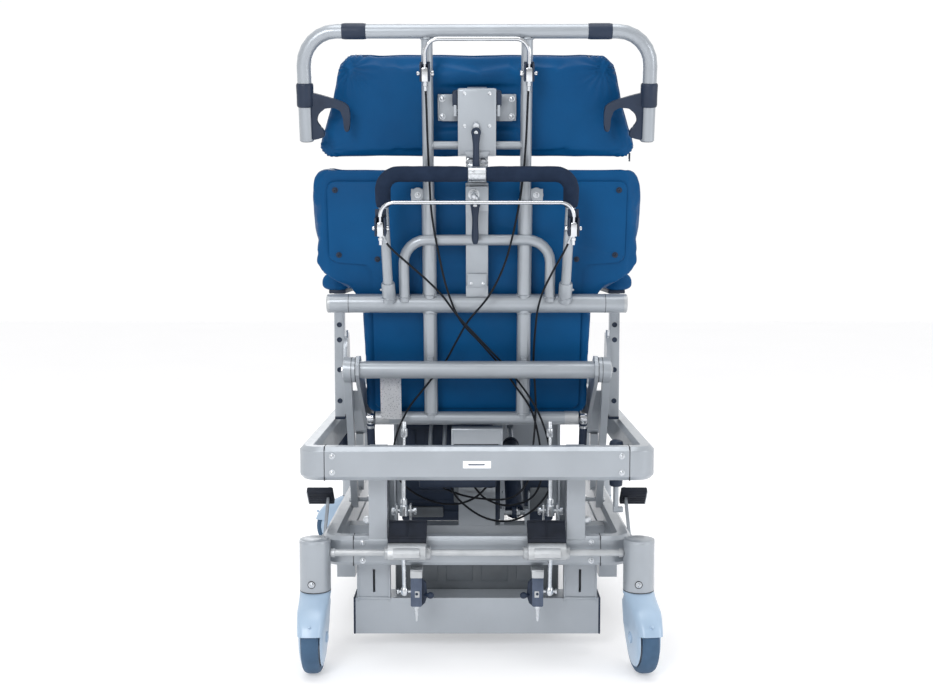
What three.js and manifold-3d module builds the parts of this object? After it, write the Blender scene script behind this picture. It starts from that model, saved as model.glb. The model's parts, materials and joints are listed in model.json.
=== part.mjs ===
// Sit to stand lift chair: a wheeled chassis, a seat that tips up about the knees, a reclining
// back with a head cushion, a rising leg section, foot pedals and bail levers with their cables.
// Millimetres, +Z up, front towards -Y, floor at Z = 0, symmetry plane X = 0, origin at mid wheelbase.
import * as THREE from 'three';
import { mergeVertices } from 'three/addons/utils/BufferGeometryUtils.js';
import Module from 'manifold-3d';

const wasm = await Module();
wasm.setup();

// ---- driving dimensions ----
const GAP = 0.3; // clearance left between pieces that touch
const SIDES = 12; // sides of a round tube

const WHEEL_BASE_HALF = 500; // origin to either castor swivel axis, along Y
const REAR_TRACK = 345; // X of the rear castor swivels
const FRONT_TRACK = 365; // X of the front castor swivels
const WHEEL_RADIUS = 75;
const WHEEL_WIDTH = 38;
const CASTOR_TRAIL = 35;
const CASTOR_TOP = 167; // top of the hood, just under the housing
const HOUSING_RADIUS = 33;
const HOUSING_BOTTOM = 168;
const HOUSING_TOP = 277;
const STEM_RADIUS = 12;

const BASE_BOTTOM = 211; // lower frame bars
const BASE_TOP = 275;
const BASE_RAIL_X = 318;
const BASE_SEAM_X = 266; // where the rear bar meets the corner castings
const REAR_BAR_Y = WHEEL_BASE_HALF - 45;
const BAR_DEPTH = 38;
const MID_BAR_Y = 220; // cross member under the lift column
const LIFT_FOOT = { y: 220, z: 272 }; // pivots of the lift cylinder
const LIFT_HEAD = { y: -200, z: 420 };

const RING_BOTTOM = 413; // upper bumper ring
const RING_TOP = 484;
const RING_OUTER_X = 372;
const RING_REAR_Y = WHEEL_BASE_HALF + 60;
const RING_FRONT_Y = -105;
const RING_SEAM_X = 316;
const RING_FRONT_END_X = 286;
const RING_CORNER = 62;

const BEAM_REAR_Y = 402; // rear face of the ballast beam, clear of the castors as they swivel
const POST_INNER_X = 193; // posts between the rear bar and the ring
const POST_OUTER_X = 233;

const KNEE = { y: -330, z: 530 }; // axis of the seat tilt and of the leg section
const KNEE_AXLE_RADIUS = 12;

const HIP_TUBE_RADIUS = 20;

const SEAT_HALF_WIDTH = 262;
const SEAT_BOTTOM = 479;
const SEAT_TOP = 580;
const SEAT_REAR_Y = 115;
const SIDE_PLATE_X = [266, 274];
const LEVER_X = [286, 302]; // flat levers that hang from the hip tube
const LEVER_END = { y: 155, z: 290 }; // foot pivot of the recline springs

const BACK_ORIGIN = { y: 232, z: 544 }; // foot of the back frame's plane
const BACK_LEAN = THREE.MathUtils.degToRad(12.84);
const HIP_BEHIND = 46; // hip axis, measured out of the back frame's plane and up along it
const HIP_UP = 87;
const UPRIGHT_X = 107;
const UPPER_RADIUS = 12.5;
const LOWER_RADIUS = 16;
const PUSH_BAR_X = 371;
const PUSH_BAR_TOP = 830;
const PUSH_BAR_FOOT = 598;
const PUSH_BAR_RADIUS = 15.5;
const CROSS_TUBE_UPPER = 231; // heights along the back frame
const CROSS_TUBE_LOWER = -47;
const BACK_CUSHION_TOP = 527;

// ---- materials ----
const paint = { color: 0xb4b6b2, roughness: 0.42, metalness: 0.35 };
const vinyl = { color: 0x0f4a78, roughness: 0.6, metalness: 0 };
const foam = { color: 0x1d2536, roughness: 0.85, metalness: 0 };
const blackPlastic = { color: 0x22262c, roughness: 0.5, metalness: 0 };
const chrome = { color: 0xd8dade, roughness: 0.12, metalness: 1 };
const castorPlastic = { color: 0x9fb6cc, roughness: 0.4, metalness: 0 };
const tyreRubber = { color: 0x4d5a6c, roughness: 0.7, metalness: 0 };
const checkerPlate = { color: 0xa9abab, roughness: 0.5, metalness: 0.8 };

// ---- geometry helpers ----
const vec = (x, y, z) => new THREE.Vector3(x, y, z);

function box(x0, x1, y0, y1, z0, z1) {
  const geometry = new THREE.BoxGeometry(x1 - x0, y1 - y0, z1 - z0);
  return geometry.translate((x0 + x1) / 2, (y0 + y1) / 2, (z0 + z1) / 2);
}

function rod(from, to, radius, sides = SIDES) {
  const along = to.clone().sub(from);
  const turn = new THREE.Quaternion().setFromUnitVectors(vec(0, 1, 0), along.clone().normalize());
  const geometry = new THREE.CylinderGeometry(radius, radius, along.length(), sides);
  return geometry.applyQuaternion(turn).translate(...from.clone().add(to).multiplyScalar(0.5));
}

const crossRod = (x0, x1, y, z, radius, sides) => rod(vec(x0, y, z), vec(x1, y, z), radius, sides);

// A curve through listed stations, sampled exactly at them.
class Route extends THREE.Curve {
  constructor(stations) {
    super();
    this.stations = stations;
  }

  getPoint(t, target = new THREE.Vector3()) {
    const place = t * (this.stations.length - 1);
    const index = Math.min(Math.floor(place), this.stations.length - 2);
    return target.lerpVectors(this.stations[index], this.stations[index + 1], place - index);
  }

  getPointAt(u, target) {
    return this.getPoint(u, target);
  }

  getTangentAt(u, target = new THREE.Vector3()) {
    const index = Math.round(u * (this.stations.length - 1));
    const before = this.stations[Math.max(index - 1, 0)];
    const here = this.stations[index];
    const after = this.stations[Math.min(index + 1, this.stations.length - 1)];
    const incoming = here.clone().sub(before).normalize();
    const outgoing = after.clone().sub(here).normalize();
    return target.copy(incoming).add(outgoing).normalize();
  }
}

// Rounds each inner corner of a polyline with an arc of the given radius.
function rounded(points, radius, steps = 5) {
  const stations = [points[0]];
  for (let i = 1; i < points.length - 1; i += 1) {
    const incoming = points[i].clone().sub(points[i - 1]).normalize();
    const outgoing = points[i + 1].clone().sub(points[i]).normalize();
    const angle = incoming.angleTo(outgoing);
    const start = points[i].clone().addScaledVector(incoming, -radius * Math.tan(angle / 2));
    const inward = outgoing.clone().addScaledVector(incoming, -outgoing.dot(incoming)).normalize();
    const centre = start.clone().addScaledVector(inward, radius);
    for (let k = 0; k <= steps; k += 1) {
      const a = (angle * k) / steps;
      const station = centre.clone().addScaledVector(inward, -radius * Math.cos(a));
      stations.push(station.addScaledVector(incoming, radius * Math.sin(a)));
    }
  }
  stations.push(points[points.length - 1]);
  return stations;
}

function sweep(stations, shape) {
  return new THREE.ExtrudeGeometry(shape, {
    steps: stations.length - 1,
    extrudePath: new Route(stations),
    bevelEnabled: false,
  });
}

function circle(radius, sides = SIDES) {
  const corners = [];
  for (let i = 0; i < sides; i += 1) {
    const a = ((i + 0.5) / sides) * Math.PI * 2;
    corners.push(new THREE.Vector2(radius * Math.cos(a), radius * Math.sin(a)));
  }
  return new THREE.Shape(corners);
}

const tube = (stations, radius, sides) => sweep(stations, circle(radius, sides));

// Rectangle with chamfered corners: the section of the frame bars, tall along its first axis.
function barSection(tall, deep, chamfer) {
  const a = tall / 2;
  const b = deep / 2;
  return new THREE.Shape([
    new THREE.Vector2(-a + chamfer, -b), new THREE.Vector2(a - chamfer, -b),
    new THREE.Vector2(a, -b + chamfer), new THREE.Vector2(a, b - chamfer),
    new THREE.Vector2(a - chamfer, b), new THREE.Vector2(-a + chamfer, b),
    new THREE.Vector2(-a, b - chamfer), new THREE.Vector2(-a, -b + chamfer),
  ]);
}

// Extrudes an outline given as [y, z] pairs, from x0 to x1.
function sidePlate(outline, x0, x1) {
  const shape = new THREE.Shape(outline.map(([y, z]) => new THREE.Vector2(y, z)));
  const geometry = new THREE.ExtrudeGeometry(shape, { depth: x1 - x0, bevelEnabled: false });
  return geometry.applyMatrix4(new THREE.Matrix4().makeBasis(vec(0, 1, 0), vec(0, 0, 1), vec(1, 0, 0)))
    .translate(x0, 0, 0);
}

// Extrudes a shape drawn in X and Z, from y0 to y1.
function facePlate(shape, y0, y1, curveSegments = 4) {
  const geometry = new THREE.ExtrudeGeometry(shape, { depth: y1 - y0, bevelEnabled: false, curveSegments });
  return geometry.rotateX(Math.PI / 2).translate(0, y1, 0);
}

function solid(geometry) {
  const bare = geometry.clone();
  bare.deleteAttribute('normal');
  bare.deleteAttribute('uv');
  const merged = mergeVertices(bare, 1e-4);
  const triVerts = merged.index
    ? Uint32Array.from(merged.index.array)
    : Uint32Array.from({ length: merged.attributes.position.count }, (_, i) => i);
  const made = (faces) => new wasm.Manifold(
    new wasm.Mesh({ numProp: 3, vertProperties: Float32Array.from(merged.attributes.position.array), triVerts: faces }),
  );
  const result = made(triVerts);
  if (result.volume() > 0) return result;
  for (let i = 0; i < triVerts.length; i += 3) {
    [triVerts[i + 1], triVerts[i + 2]] = [triVerts[i + 2], triVerts[i + 1]];
  }
  return made(triVerts);
}

function geometryOf(manifold) {
  const mesh = manifold.getMesh();
  const geometry = new THREE.BufferGeometry();
  geometry.setAttribute('position', new THREE.BufferAttribute(mesh.vertProperties, 3));
  geometry.setIndex(new THREE.BufferAttribute(mesh.triVerts, 1));
  geometry.computeVertexNormals();
  return geometry;
}

const join = (...pieces) => pieces.map(solid).reduce((whole, piece) => whole.add(piece));
const cut = (whole, ...tools) => tools.map(solid).reduce((rest, tool) => rest.subtract(tool), whole);

// ---- assembly ----
const lift = new THREE.Group();
const back = new THREE.Group(); // local Y points out of the back's rear face, local Z up along it
back.position.set(0, BACK_ORIGIN.y, BACK_ORIGIN.z);
back.rotation.x = -BACK_LEAN;
lift.add(back);

function add(group, name, shape, finish) {
  const geometry = shape.isBufferGeometry ? geometryOf(solid(shape)) : geometryOf(shape);
  const mesh = new THREE.Mesh(geometry, new THREE.MeshStandardMaterial(finish));
  mesh.name = name;
  group.add(mesh);
}

const SIDE_NAMES = [['left', 1], ['right', -1]]; // left is +X, seen from behind on the left
const mirrored = (side, x0, x1) => [Math.min(side * x0, side * x1), Math.max(side * x0, side * x1)];
const backPoint = (x, behind, up) => vec(
  x,
  BACK_ORIGIN.y + behind * Math.cos(BACK_LEAN) + up * Math.sin(BACK_LEAN),
  BACK_ORIGIN.z - behind * Math.sin(BACK_LEAN) + up * Math.cos(BACK_LEAN),
);

const hipPoint = backPoint(0, HIP_BEHIND, HIP_UP);
const HIP = { y: hipPoint.y, z: hipPoint.z }; // axis of the back recline

// ---- chassis: lower frame ----
function buildLowerFrame() {
  const middle = (BASE_BOTTOM + BASE_TOP) / 2;
  const section = barSection(BASE_TOP - BASE_BOTTOM, BAR_DEPTH, 8);
  const pieces = [];
  const bores = [];
  for (const [, side] of SIDE_NAMES) {
    const rail = rounded([
      vec(side * (BASE_SEAM_X + GAP), REAR_BAR_Y, middle),
      vec(side * BASE_RAIL_X, REAR_BAR_Y, middle),
      vec(side * BASE_RAIL_X, -380, middle),
      vec(side * FRONT_TRACK, -WHEEL_BASE_HALF, middle),
    ], 30, 4);
    pieces.push(sweep(rail, section));
    pieces.push(box(...mirrored(side, BASE_RAIL_X, REAR_TRACK), REAR_BAR_Y - 10, WHEEL_BASE_HALF, BASE_BOTTOM + 6, BASE_TOP - 6));
    pieces.push(box(...mirrored(side, 296, 340), -240, 150, 98, BASE_BOTTOM + 5)); // brake linkage cover
    for (const [track, y] of [[REAR_TRACK, WHEEL_BASE_HALF], [FRONT_TRACK, -WHEEL_BASE_HALF]]) {
      pieces.push(rod(vec(side * track, y, HOUSING_BOTTOM), vec(side * track, y, HOUSING_TOP), HOUSING_RADIUS, 18));
      bores.push(rod(vec(side * track, y, HOUSING_BOTTOM - 5), vec(side * track, y, 250), STEM_RADIUS + 1.4, 10));
    }
    pieces.push(box(...mirrored(side, 296, 316), -124, -88, BASE_TOP - 10, RING_BOTTOM - GAP)); // ring strut
  }
  pieces.push(box(-BASE_RAIL_X, BASE_RAIL_X, MID_BAR_Y - 25, MID_BAR_Y + 25, BASE_BOTTOM + 2, 247));
  pieces.push(box(-43, 43, MID_BAR_Y - 20, MID_BAR_Y + 24, 240, 444)); // lift column and its head
  pieces.push(box(-59, 59, MID_BAR_Y - 24, MID_BAR_Y + 28, 440, 474));
  const lugs = [-122, -64].map((x) => box(x, x + 10, 204, 236, 240, 284));
  const pin = crossRod(-116, -60, LIFT_FOOT.y, LIFT_FOOT.z, 6, 10);
  return cut(join(...pieces, ...lugs, pin), ...bores);
}
add(lift, 'lower_frame', buildLowerFrame(), paint);

function buildRearFrame() {
  const y0 = REAR_BAR_Y - BAR_DEPTH / 2;
  const y1 = REAR_BAR_Y + BAR_DEPTH / 2;
  const middle = (BASE_BOTTOM + BASE_TOP) / 2;
  const bar = sweep([vec(-BASE_SEAM_X, REAR_BAR_Y, middle), vec(BASE_SEAM_X, REAR_BAR_Y, middle)],
    barSection(BASE_TOP - BASE_BOTTOM, BAR_DEPTH, 8));
  const posts = SIDE_NAMES.flatMap(([, side]) => [
    box(...mirrored(side, POST_INNER_X, POST_OUTER_X), y0, y1 - 2, BASE_TOP - 10, 470),
    box(...mirrored(side, POST_INNER_X + 4, POST_OUTER_X - 4), y1 - 10, RING_REAR_Y - BAR_DEPTH - GAP, 424, 470),
  ]);
  return join(bar, ...posts);
}
add(lift, 'rear_frame', buildRearFrame(), paint);

// ---- chassis: upper bumper ring ----
const ringMiddle = (RING_BOTTOM + RING_TOP) / 2;
const ringSection = barSection(RING_TOP - RING_BOTTOM, BAR_DEPTH, 9);
const ringRailX = RING_OUTER_X - BAR_DEPTH / 2;
const ringRearBarY = RING_REAR_Y - BAR_DEPTH / 2;

add(lift, 'bumper_rear_bar', sweep([
  vec(-RING_SEAM_X, ringRearBarY, ringMiddle), vec(RING_SEAM_X, ringRearBarY, ringMiddle),
], ringSection), paint);

// Side rails with their corner castings; the front corners turn in and end beside the seat.
for (const [name, side] of SIDE_NAMES) {
  add(lift, `bumper_side_${name}`, sweep(rounded([
    vec(side * (RING_SEAM_X + GAP), ringRearBarY, ringMiddle),
    vec(side * ringRailX, ringRearBarY, ringMiddle),
    vec(side * ringRailX, RING_FRONT_Y, ringMiddle),
    vec(side * RING_FRONT_END_X, RING_FRONT_Y, ringMiddle),
  ], RING_CORNER - BAR_DEPTH, 4), ringSection), paint);
}

// ---- chassis: ballast beam with its hanger plates, knee trestle, brake axle ----
function buildBallastBeam() {
  const beam = box(-271, 271, BEAM_REAR_Y - 70, BEAM_REAR_Y, 39, 120);
  const hangers = SIDE_NAMES.flatMap(([, side]) => [
    box(...mirrored(side, 194, 264), BEAM_REAR_Y - 16, BEAM_REAR_Y, 112, 262),
    box(...mirrored(side, 194, 264), BEAM_REAR_Y - 16, REAR_BAR_Y - BAR_DEPTH / 2 - GAP, 225, 262),
  ]);
  const slots = SIDE_NAMES.map(([, side]) => box(...mirrored(side, 226, 231), BEAM_REAR_Y - 30, BEAM_REAR_Y + 10, 133, 184));
  return cut(join(beam, ...hangers), ...slots);
}
add(lift, 'ballast_beam', buildBallastBeam(), paint);

function buildKneeTrestle() {
  const posts = SIDE_NAMES.map(([, side]) => box(...mirrored(side, 292, 316), -350, -310, BASE_TOP + GAP, 558));
  return join(...posts, crossRod(-300, 300, KNEE.y, KNEE.z, KNEE_AXLE_RADIUS, 16));
}
add(lift, 'knee_trestle', buildKneeTrestle(), paint);

add(lift, 'brake_axle', crossRod(-REAR_TRACK + HOUSING_RADIUS + GAP, REAR_TRACK - HOUSING_RADIUS - GAP,
  WHEEL_BASE_HALF, 247, 7.5), paint);

// ---- foot pedals ----
function rearPedal(side) {
  const outline = [
    [486, 236], [520, 238], [549, 252], [552, 262], [546, 270], [522, 284],
    [478, 326], [468, 328], [462, 322], [466, 300], [478, 290], [484, 262],
  ];
  const body = sidePlate(outline, ...mirrored(side, 107, 188));
  const sleeve = crossRod(side * 95, side * 200, WHEEL_BASE_HALF, 247, 14);
  const bore = crossRod(side * 90, side * 205, WHEEL_BASE_HALF, 247, 8, SIDES);
  return cut(join(body, sleeve), bore);
}

function sidePedal(side) {
  const arm = sidePlate([[352, 232], [372, 232], [262, 338], [242, 338]], ...mirrored(side, 341, 347));
  const pad = sidePlate([[250, 306], [256, 300], [292, 334], [286, 340]], ...mirrored(side, 344, 392));
  const pivot = crossRod(side * 337.5, side * 345, 360, 243, 12);
  return join(arm, pad, pivot);
}

for (const [name, side] of SIDE_NAMES) {
  add(lift, `rear_pedal_${name}`, rearPedal(side), blackPlastic);
  add(lift, `side_pedal_${name}`, sidePedal(side), paint);
}

// ---- castors ----
// Built trailing towards +Y from a swivel axis at the origin, then turned and placed.
function castorHood() {
  const outline = [];
  const wheelY = CASTOR_TRAIL;
  const arc = (radius, from, to, count) => {
    for (let i = 0; i <= count; i += 1) {
      const a = THREE.MathUtils.degToRad(from + ((to - from) * i) / count);
      outline.push([wheelY + radius * Math.cos(a), WHEEL_RADIUS + radius * Math.sin(a)]);
    }
  };
  arc(84, 12, 62, 5);
  outline.push([33, CASTOR_TOP - 6], [-33, CASTOR_TOP - 6]);
  arc(84, 155, 172, 2);
  arc(64, 190, 350, 8);
  const body = join(
    sidePlate(outline, -29, 29),
    rod(vec(0, 0, CASTOR_TOP - 10), vec(0, 0, CASTOR_TOP), 32, 18),
    rod(vec(0, 0, CASTOR_TOP - 4), vec(0, 0, 245), STEM_RADIUS, 10),
  );
  const slotted = cut(body, crossRod(-WHEEL_WIDTH / 2 - 2, WHEEL_WIDTH / 2 + 2, wheelY, WHEEL_RADIUS, 79, 22));
  return slotted.add(solid(crossRod(-24, 24, wheelY, WHEEL_RADIUS, 5, 12)));
}

function castorWheel() {
  const half = WHEEL_WIDTH / 2;
  const profile = [
    [7, -half], [68, -half], [WHEEL_RADIUS, -half + 8], [WHEEL_RADIUS, half - 8], [68, half], [7, half], [7, -half],
  ].map(([r, h]) => new THREE.Vector2(r, h));
  return new THREE.LatheGeometry(profile, 24).rotateZ(Math.PI / 2)
    .translate(0, CASTOR_TRAIL, WHEEL_RADIUS);
}

const hood = geometryOf(castorHood());
const wheel = castorWheel();
const OUTWARD = THREE.MathUtils.degToRad(-90);
const castors = [
  ['rear_left', REAR_TRACK, WHEEL_BASE_HALF, 0],
  ['rear_right', -REAR_TRACK, WHEEL_BASE_HALF, THREE.MathUtils.degToRad(8)],
  ['front_left', FRONT_TRACK, -WHEEL_BASE_HALF, OUTWARD],
  ['front_right', -FRONT_TRACK, -WHEEL_BASE_HALF, 0],
];
for (const [name, x, y, turn] of castors) {
  const place = new THREE.Group();
  place.position.set(x, y, 0);
  place.rotation.z = turn;
  lift.add(place);
  add(place, `castor_${name}`, hood, castorPlastic);
  add(place, `wheel_${name}`, wheel, tyreRubber);
}

// ---- seat ----
function buildSeatFrame() {
  const pieces = [box(-SIDE_PLATE_X[0] - 4, SIDE_PLATE_X[0] + 4, -298, SEAT_REAR_Y - 2, 466, SEAT_BOTTOM - GAP)];
  const bores = [];
  for (const [, side] of SIDE_NAMES) {
    const plate = [
      [-345, 508], [-330, 500], [-300, 458], [120, 458], [165, 500], [HIP.y + 10, HIP.z - 32],
      [HIP.y + 30, HIP.z - 10], [HIP.y + 30, HIP.z + 12], [HIP.y + 10, HIP.z + 32],
      [HIP.y - 22, HIP.z + 30], [150, 560], [-300, 556], [-330, 560], [-352, 548], [-358, 528],
    ];
    pieces.push(sidePlate(plate, ...mirrored(side, ...SIDE_PLATE_X)));
    pieces.push(box(...mirrored(side, 272, 310), 100, 120, 500, 550)); // armrest bracket arm
    pieces.push(sidePlate([[98, 484], [176, 500], [176, 660], [150, 692], [122, 692], [98, 560]],
      ...mirrored(side, 308, 316.7)));
    bores.push(crossRod(side * 260, side * 280, KNEE.y, KNEE.z, KNEE_AXLE_RADIUS + 0.6, 16));
    bores.push(crossRod(side * 260, side * 280, HIP.y, HIP.z, HIP_TUBE_RADIUS + 0.6, 18));
  }
  const lugs = [-106, -76].map((x) => box(x, x + 6, -215, -185, 408, 470)); // lift rod lugs
  return cut(join(...pieces, ...lugs), ...bores);
}
add(lift, 'seat_frame', buildSeatFrame(), paint);

const seatSide = [
  [-300, 492], [-280, SEAT_BOTTOM], [SEAT_REAR_Y - 18, SEAT_BOTTOM], [SEAT_REAR_Y, 498],
  [SEAT_REAR_Y, 556], [SEAT_REAR_Y - 20, SEAT_TOP - 4], [-60, SEAT_TOP], [-280, SEAT_TOP - 4], [-302, 560],
];
add(lift, 'seat_cushion', sidePlate(seatSide, -SEAT_HALF_WIDTH, SEAT_HALF_WIDTH), vinyl);

function buildHipTube() {
  const pieces = [crossRod(-280, 280, HIP.y, HIP.z, HIP_TUBE_RADIUS, 18)];
  for (const [, side] of SIDE_NAMES) {
    pieces.push(crossRod(side * 275, side * LEVER_X[1], HIP.y, HIP.z, 29, 22));
    pieces.push(sidePlate([
      [HIP.y + 16, HIP.z], [HIP.y - 16, HIP.z - 6],
      [LEVER_END.y - 16, LEVER_END.z - 8], [LEVER_END.y, LEVER_END.z - 20], [LEVER_END.y + 16, LEVER_END.z - 8],
    ], ...mirrored(side, ...LEVER_X)));
    pieces.push(crossRod(side * 240, side * 290, LEVER_END.y, LEVER_END.z, 5, 12));
  }
  return join(...pieces);
}
add(lift, 'hip_tube', buildHipTube(), paint);

for (const [name, side] of SIDE_NAMES) {
  const post = box(...mirrored(side, 317, 341), 126, 150, 490, 790);
  const holes = [529, 604, 676, 712].map((z) => rod(vec(side * 329, 110, z), vec(side * 329, 160, z), 5, 10));
  add(lift, `armrest_post_${name}`, cut(solid(post), ...holes), paint);
  const pad = new THREE.Shape([
    new THREE.Vector2(302, 806), new THREE.Vector2(312, 794), new THREE.Vector2(346, 790 + GAP),
    new THREE.Vector2(360, 800), new THREE.Vector2(362, 820), new THREE.Vector2(350, 836),
    new THREE.Vector2(330, 839), new THREE.Vector2(308, 832),
  ].map((p) => new THREE.Vector2(side * p.x, p.y)));
  const slab = new THREE.ExtrudeGeometry(pad, { depth: 300, bevelEnabled: false });
  add(lift, `armrest_pad_${name}`, slab.rotateX(Math.PI / 2).translate(0, 168, 0), vinyl);
}

// ---- lift cylinder and recline springs ----
// Barrel with an eye at its foot and a blind bore open at its mouth; rod with an eye at its head.
function cylinderPair(foot, head, x, barrelLength, barrelRadius, rodLength, rodRadius, eyeWidth) {
  const from = vec(x, foot.y, foot.z);
  const along = vec(0, head.y - foot.y, head.z - foot.z).normalize();
  const at = (distance) => from.clone().addScaledVector(along, distance);
  const total = Math.hypot(head.y - foot.y, head.z - foot.z);
  const half = eyeWidth / 2;
  const barrel = cut(
    join(rod(at(10), at(barrelLength), barrelRadius, 16), crossRod(x - half, x + half, foot.y, foot.z, 14, 16)),
    crossRod(x - half - 2, x + half + 2, foot.y, foot.z, 7, 12),
    rod(at(30), at(barrelLength + 5), rodRadius + 0.5, 12),
  );
  const plunger = join(
    rod(at(total - rodLength), at(total - 4), rodRadius, 12),
    crossRod(x - half, x + half, head.y, head.z, 10, 14),
  );
  return [barrel, plunger];
}

const [liftBarrel, liftRod] = cylinderPair(LIFT_FOOT, LIFT_HEAD, -88, 340, 20, 200, 9, 11);
add(lift, 'lift_barrel', liftBarrel, blackPlastic);
add(lift, 'lift_rod', liftRod, chrome);

for (const [name, side] of SIDE_NAMES) {
  const [barrel, plunger] = cylinderPair(LEVER_END, { y: 221, z: 498 }, side * 250, 205, 9.5, 178, 4.5, 16);
  add(lift, `spring_barrel_${name}`, barrel, blackPlastic);
  add(lift, `spring_rod_${name}`, plunger, chrome);
}

// ---- back frame, in the back's own axes: X across, Y out of the rear face, Z up the back ----
function buildUpright(side) {
  const x = side * UPRIGHT_X;
  const pieces = [
    rod(vec(x, 0, CROSS_TUBE_LOWER), vec(x, 0, 470), LOWER_RADIUS),
    rod(vec(x, 0, 465), vec(x, 0, PUSH_BAR_TOP), UPPER_RADIUS),
    box(...mirrored(side, 116, 146), -8, -2, 466, 492), // cushion lug
    box(x - 6, x + 6, 8, 36, 66, 108), // saddle in front of the hip tube
  ];
  return cut(join(...pieces),
    crossRod(x - 40, x + 40, 0, PUSH_BAR_TOP, PUSH_BAR_RADIUS + 0.7),
    crossRod(x - 40, x + 40, 0, CROSS_TUBE_LOWER, 15 + GAP),
    crossRod(x - 40, x + 40, HIP_BEHIND, HIP_UP, HIP_TUBE_RADIUS + 0.6, 18));
}

function uprightTools(radius) {
  return SIDE_NAMES.map(([, side]) => rod(vec(side * UPRIGHT_X, 0, -80), vec(side * UPRIGHT_X, 0, 900), radius + GAP));
}

for (const [name, side] of SIDE_NAMES) {
  add(back, `upright_${name}`, buildUpright(side), paint);
}
add(back, 'cross_tube_upper', cut(solid(crossRod(-338, 338, 0, CROSS_TUBE_UPPER, 21.5, 18)),
  ...uprightTools(LOWER_RADIUS)), paint);
add(back, 'cross_tube_lower', crossRod(-236, 236, 0, CROSS_TUBE_LOWER, 15), paint);
add(back, 'arch_tube', cut(solid(tube(rounded([
  vec(164, 14, 240), vec(164, 14, 381), vec(-164, 14, 381), vec(-164, 14, 240),
], 52, 6), 12)), ...uprightTools(LOWER_RADIUS), crossRod(-200, 200, 0, CROSS_TUBE_UPPER, 21.5 + GAP, 18)), paint);

add(back, 'push_bar', tube(rounded([
  vec(PUSH_BAR_X, 0, PUSH_BAR_FOOT), vec(PUSH_BAR_X, 0, PUSH_BAR_TOP),
  vec(-PUSH_BAR_X, 0, PUSH_BAR_TOP), vec(-PUSH_BAR_X, 0, PUSH_BAR_FOOT),
], 72, 6), PUSH_BAR_RADIUS), paint);

function barHook(side) {
  const shape = new THREE.Shape();
  shape.moveTo(side * 366, 706);
  shape.lineTo(side * 352, 704);
  shape.lineTo(side * 296, 684);
  shape.lineTo(side * 284, 672);
  shape.lineTo(side * 279, 622);
  shape.lineTo(side * 289, 618);
  shape.lineTo(side * 297, 664);
  shape.lineTo(side * 330, 673);
  shape.lineTo(side * 344, 665);
  shape.lineTo(side * 348, 652);
  shape.lineTo(side * 344, 639);
  shape.lineTo(side * 328, 630);
  shape.lineTo(side * 326, 606);
  shape.lineTo(side * 340, 600);
  shape.lineTo(side * 366, 600);
  const x = side * PUSH_BAR_X;
  return cut(join(facePlate(shape, -7, 7), rod(vec(x, 0, 671), vec(x, 0, 722), 18)),
    rod(vec(x, 0, 590), vec(x, 0, 740), PUSH_BAR_RADIUS + 0.6));
}
for (const [name, side] of SIDE_NAMES) {
  add(back, `bar_hook_${name}`, barHook(side), blackPlastic);
}

// Push handle: bare legs in sockets on the upper cross tube, foam over the bends and the top.
const handleRoute = [
  vec(198, 24, 244), vec(203, 60, 468), vec(203, 68, 537), vec(-203, 68, 537), vec(-203, 60, 468), vec(-198, 24, 244),
];
const handleStations = rounded(handleRoute, 34, 4);
function buildPushHandle() {
  const sockets = SIDE_NAMES.map(([, side]) => rod(vec(side * 198, 18, 240), vec(side * 199, 30, 286), 14.5));
  return cut(join(tube(handleStations, 11), ...sockets, crossRod(-19, 19, 68, 537, 16)),
    crossRod(-230, 230, 0, CROSS_TUBE_UPPER, 21.5 + GAP, 18));
}
add(back, 'push_handle', buildPushHandle(), paint);

for (const [name, side] of SIDE_NAMES) {
  const stations = rounded([
    vec(side * 203, 60, 468), vec(side * 203, 68, 537), vec(side * (19 + GAP), 68, 537),
  ], 34, 4);
  const sleeve = cut(solid(tube(stations, 16.5)), tube(handleStations, 11 + GAP));
  add(back, `handle_grip_${name}`, sleeve, foam);
}

// Bail levers: a rod bent into a wide U, turning on pivots at its two ends.
function bail(halfWidth, behind, pivot, top, bend) {
  return tube(rounded([
    vec(halfWidth, behind, pivot), vec(halfWidth, behind, top),
    vec(-halfWidth, behind, top), vec(-halfWidth, behind, pivot),
  ], bend, 4), 4, 8);
}
add(back, 'bail_lever_upper', bail(111, 24, 744, 806, 26), chrome);
add(back, 'bail_lever_lower', bail(208, 94, 424, 479, 26), chrome);

// ---- head support ----
add(back, 'stem_guide', join(
  box(-25, 25, -10.5, -1.5, 253, 505),
  box(-25, -16, -10.5, 12, 440, 500),
  box(16, 25, -10.5, 12, 440, 500),
  box(-25, 25, 8, 12, 440, 500),
), paint);
add(back, 'head_stem', join(
  box(-21, 21, -21, -13, 256, 712),
  box(-21, 21, -21, 26, 700, 712),
  box(-41, 41, 11, 26, 569, 712),
), paint);

const HEAD_TILT = { y: 17, z: 666 };
function buildHeadHinge() {
  const pieces = [box(-86, 86, -42, -38, 637, 695)];
  for (const [, side] of SIDE_NAMES) {
    pieces.push(box(...mirrored(side, 44, 50), -42, 25, 654, 678));
  }
  const pins = SIDE_NAMES.map(([, side]) => crossRod(side * 41.4, side * 47, HEAD_TILT.y, HEAD_TILT.z, 5, 12));
  return join(...pieces, ...pins);
}
add(back, 'head_hinge', buildHeadHinge(), paint);

const headOutline = new THREE.Shape();
headOutline.moveTo(-355, 558);
headOutline.lineTo(-300, 764);
headOutline.lineTo(-270, 776);
headOutline.lineTo(270, 776);
headOutline.lineTo(300, 764);
headOutline.lineTo(355, 558);
headOutline.lineTo(340, 552);
headOutline.lineTo(-340, 552);
add(back, 'head_cushion', facePlate(headOutline, -106, -42 - GAP), vinyl);

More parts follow.
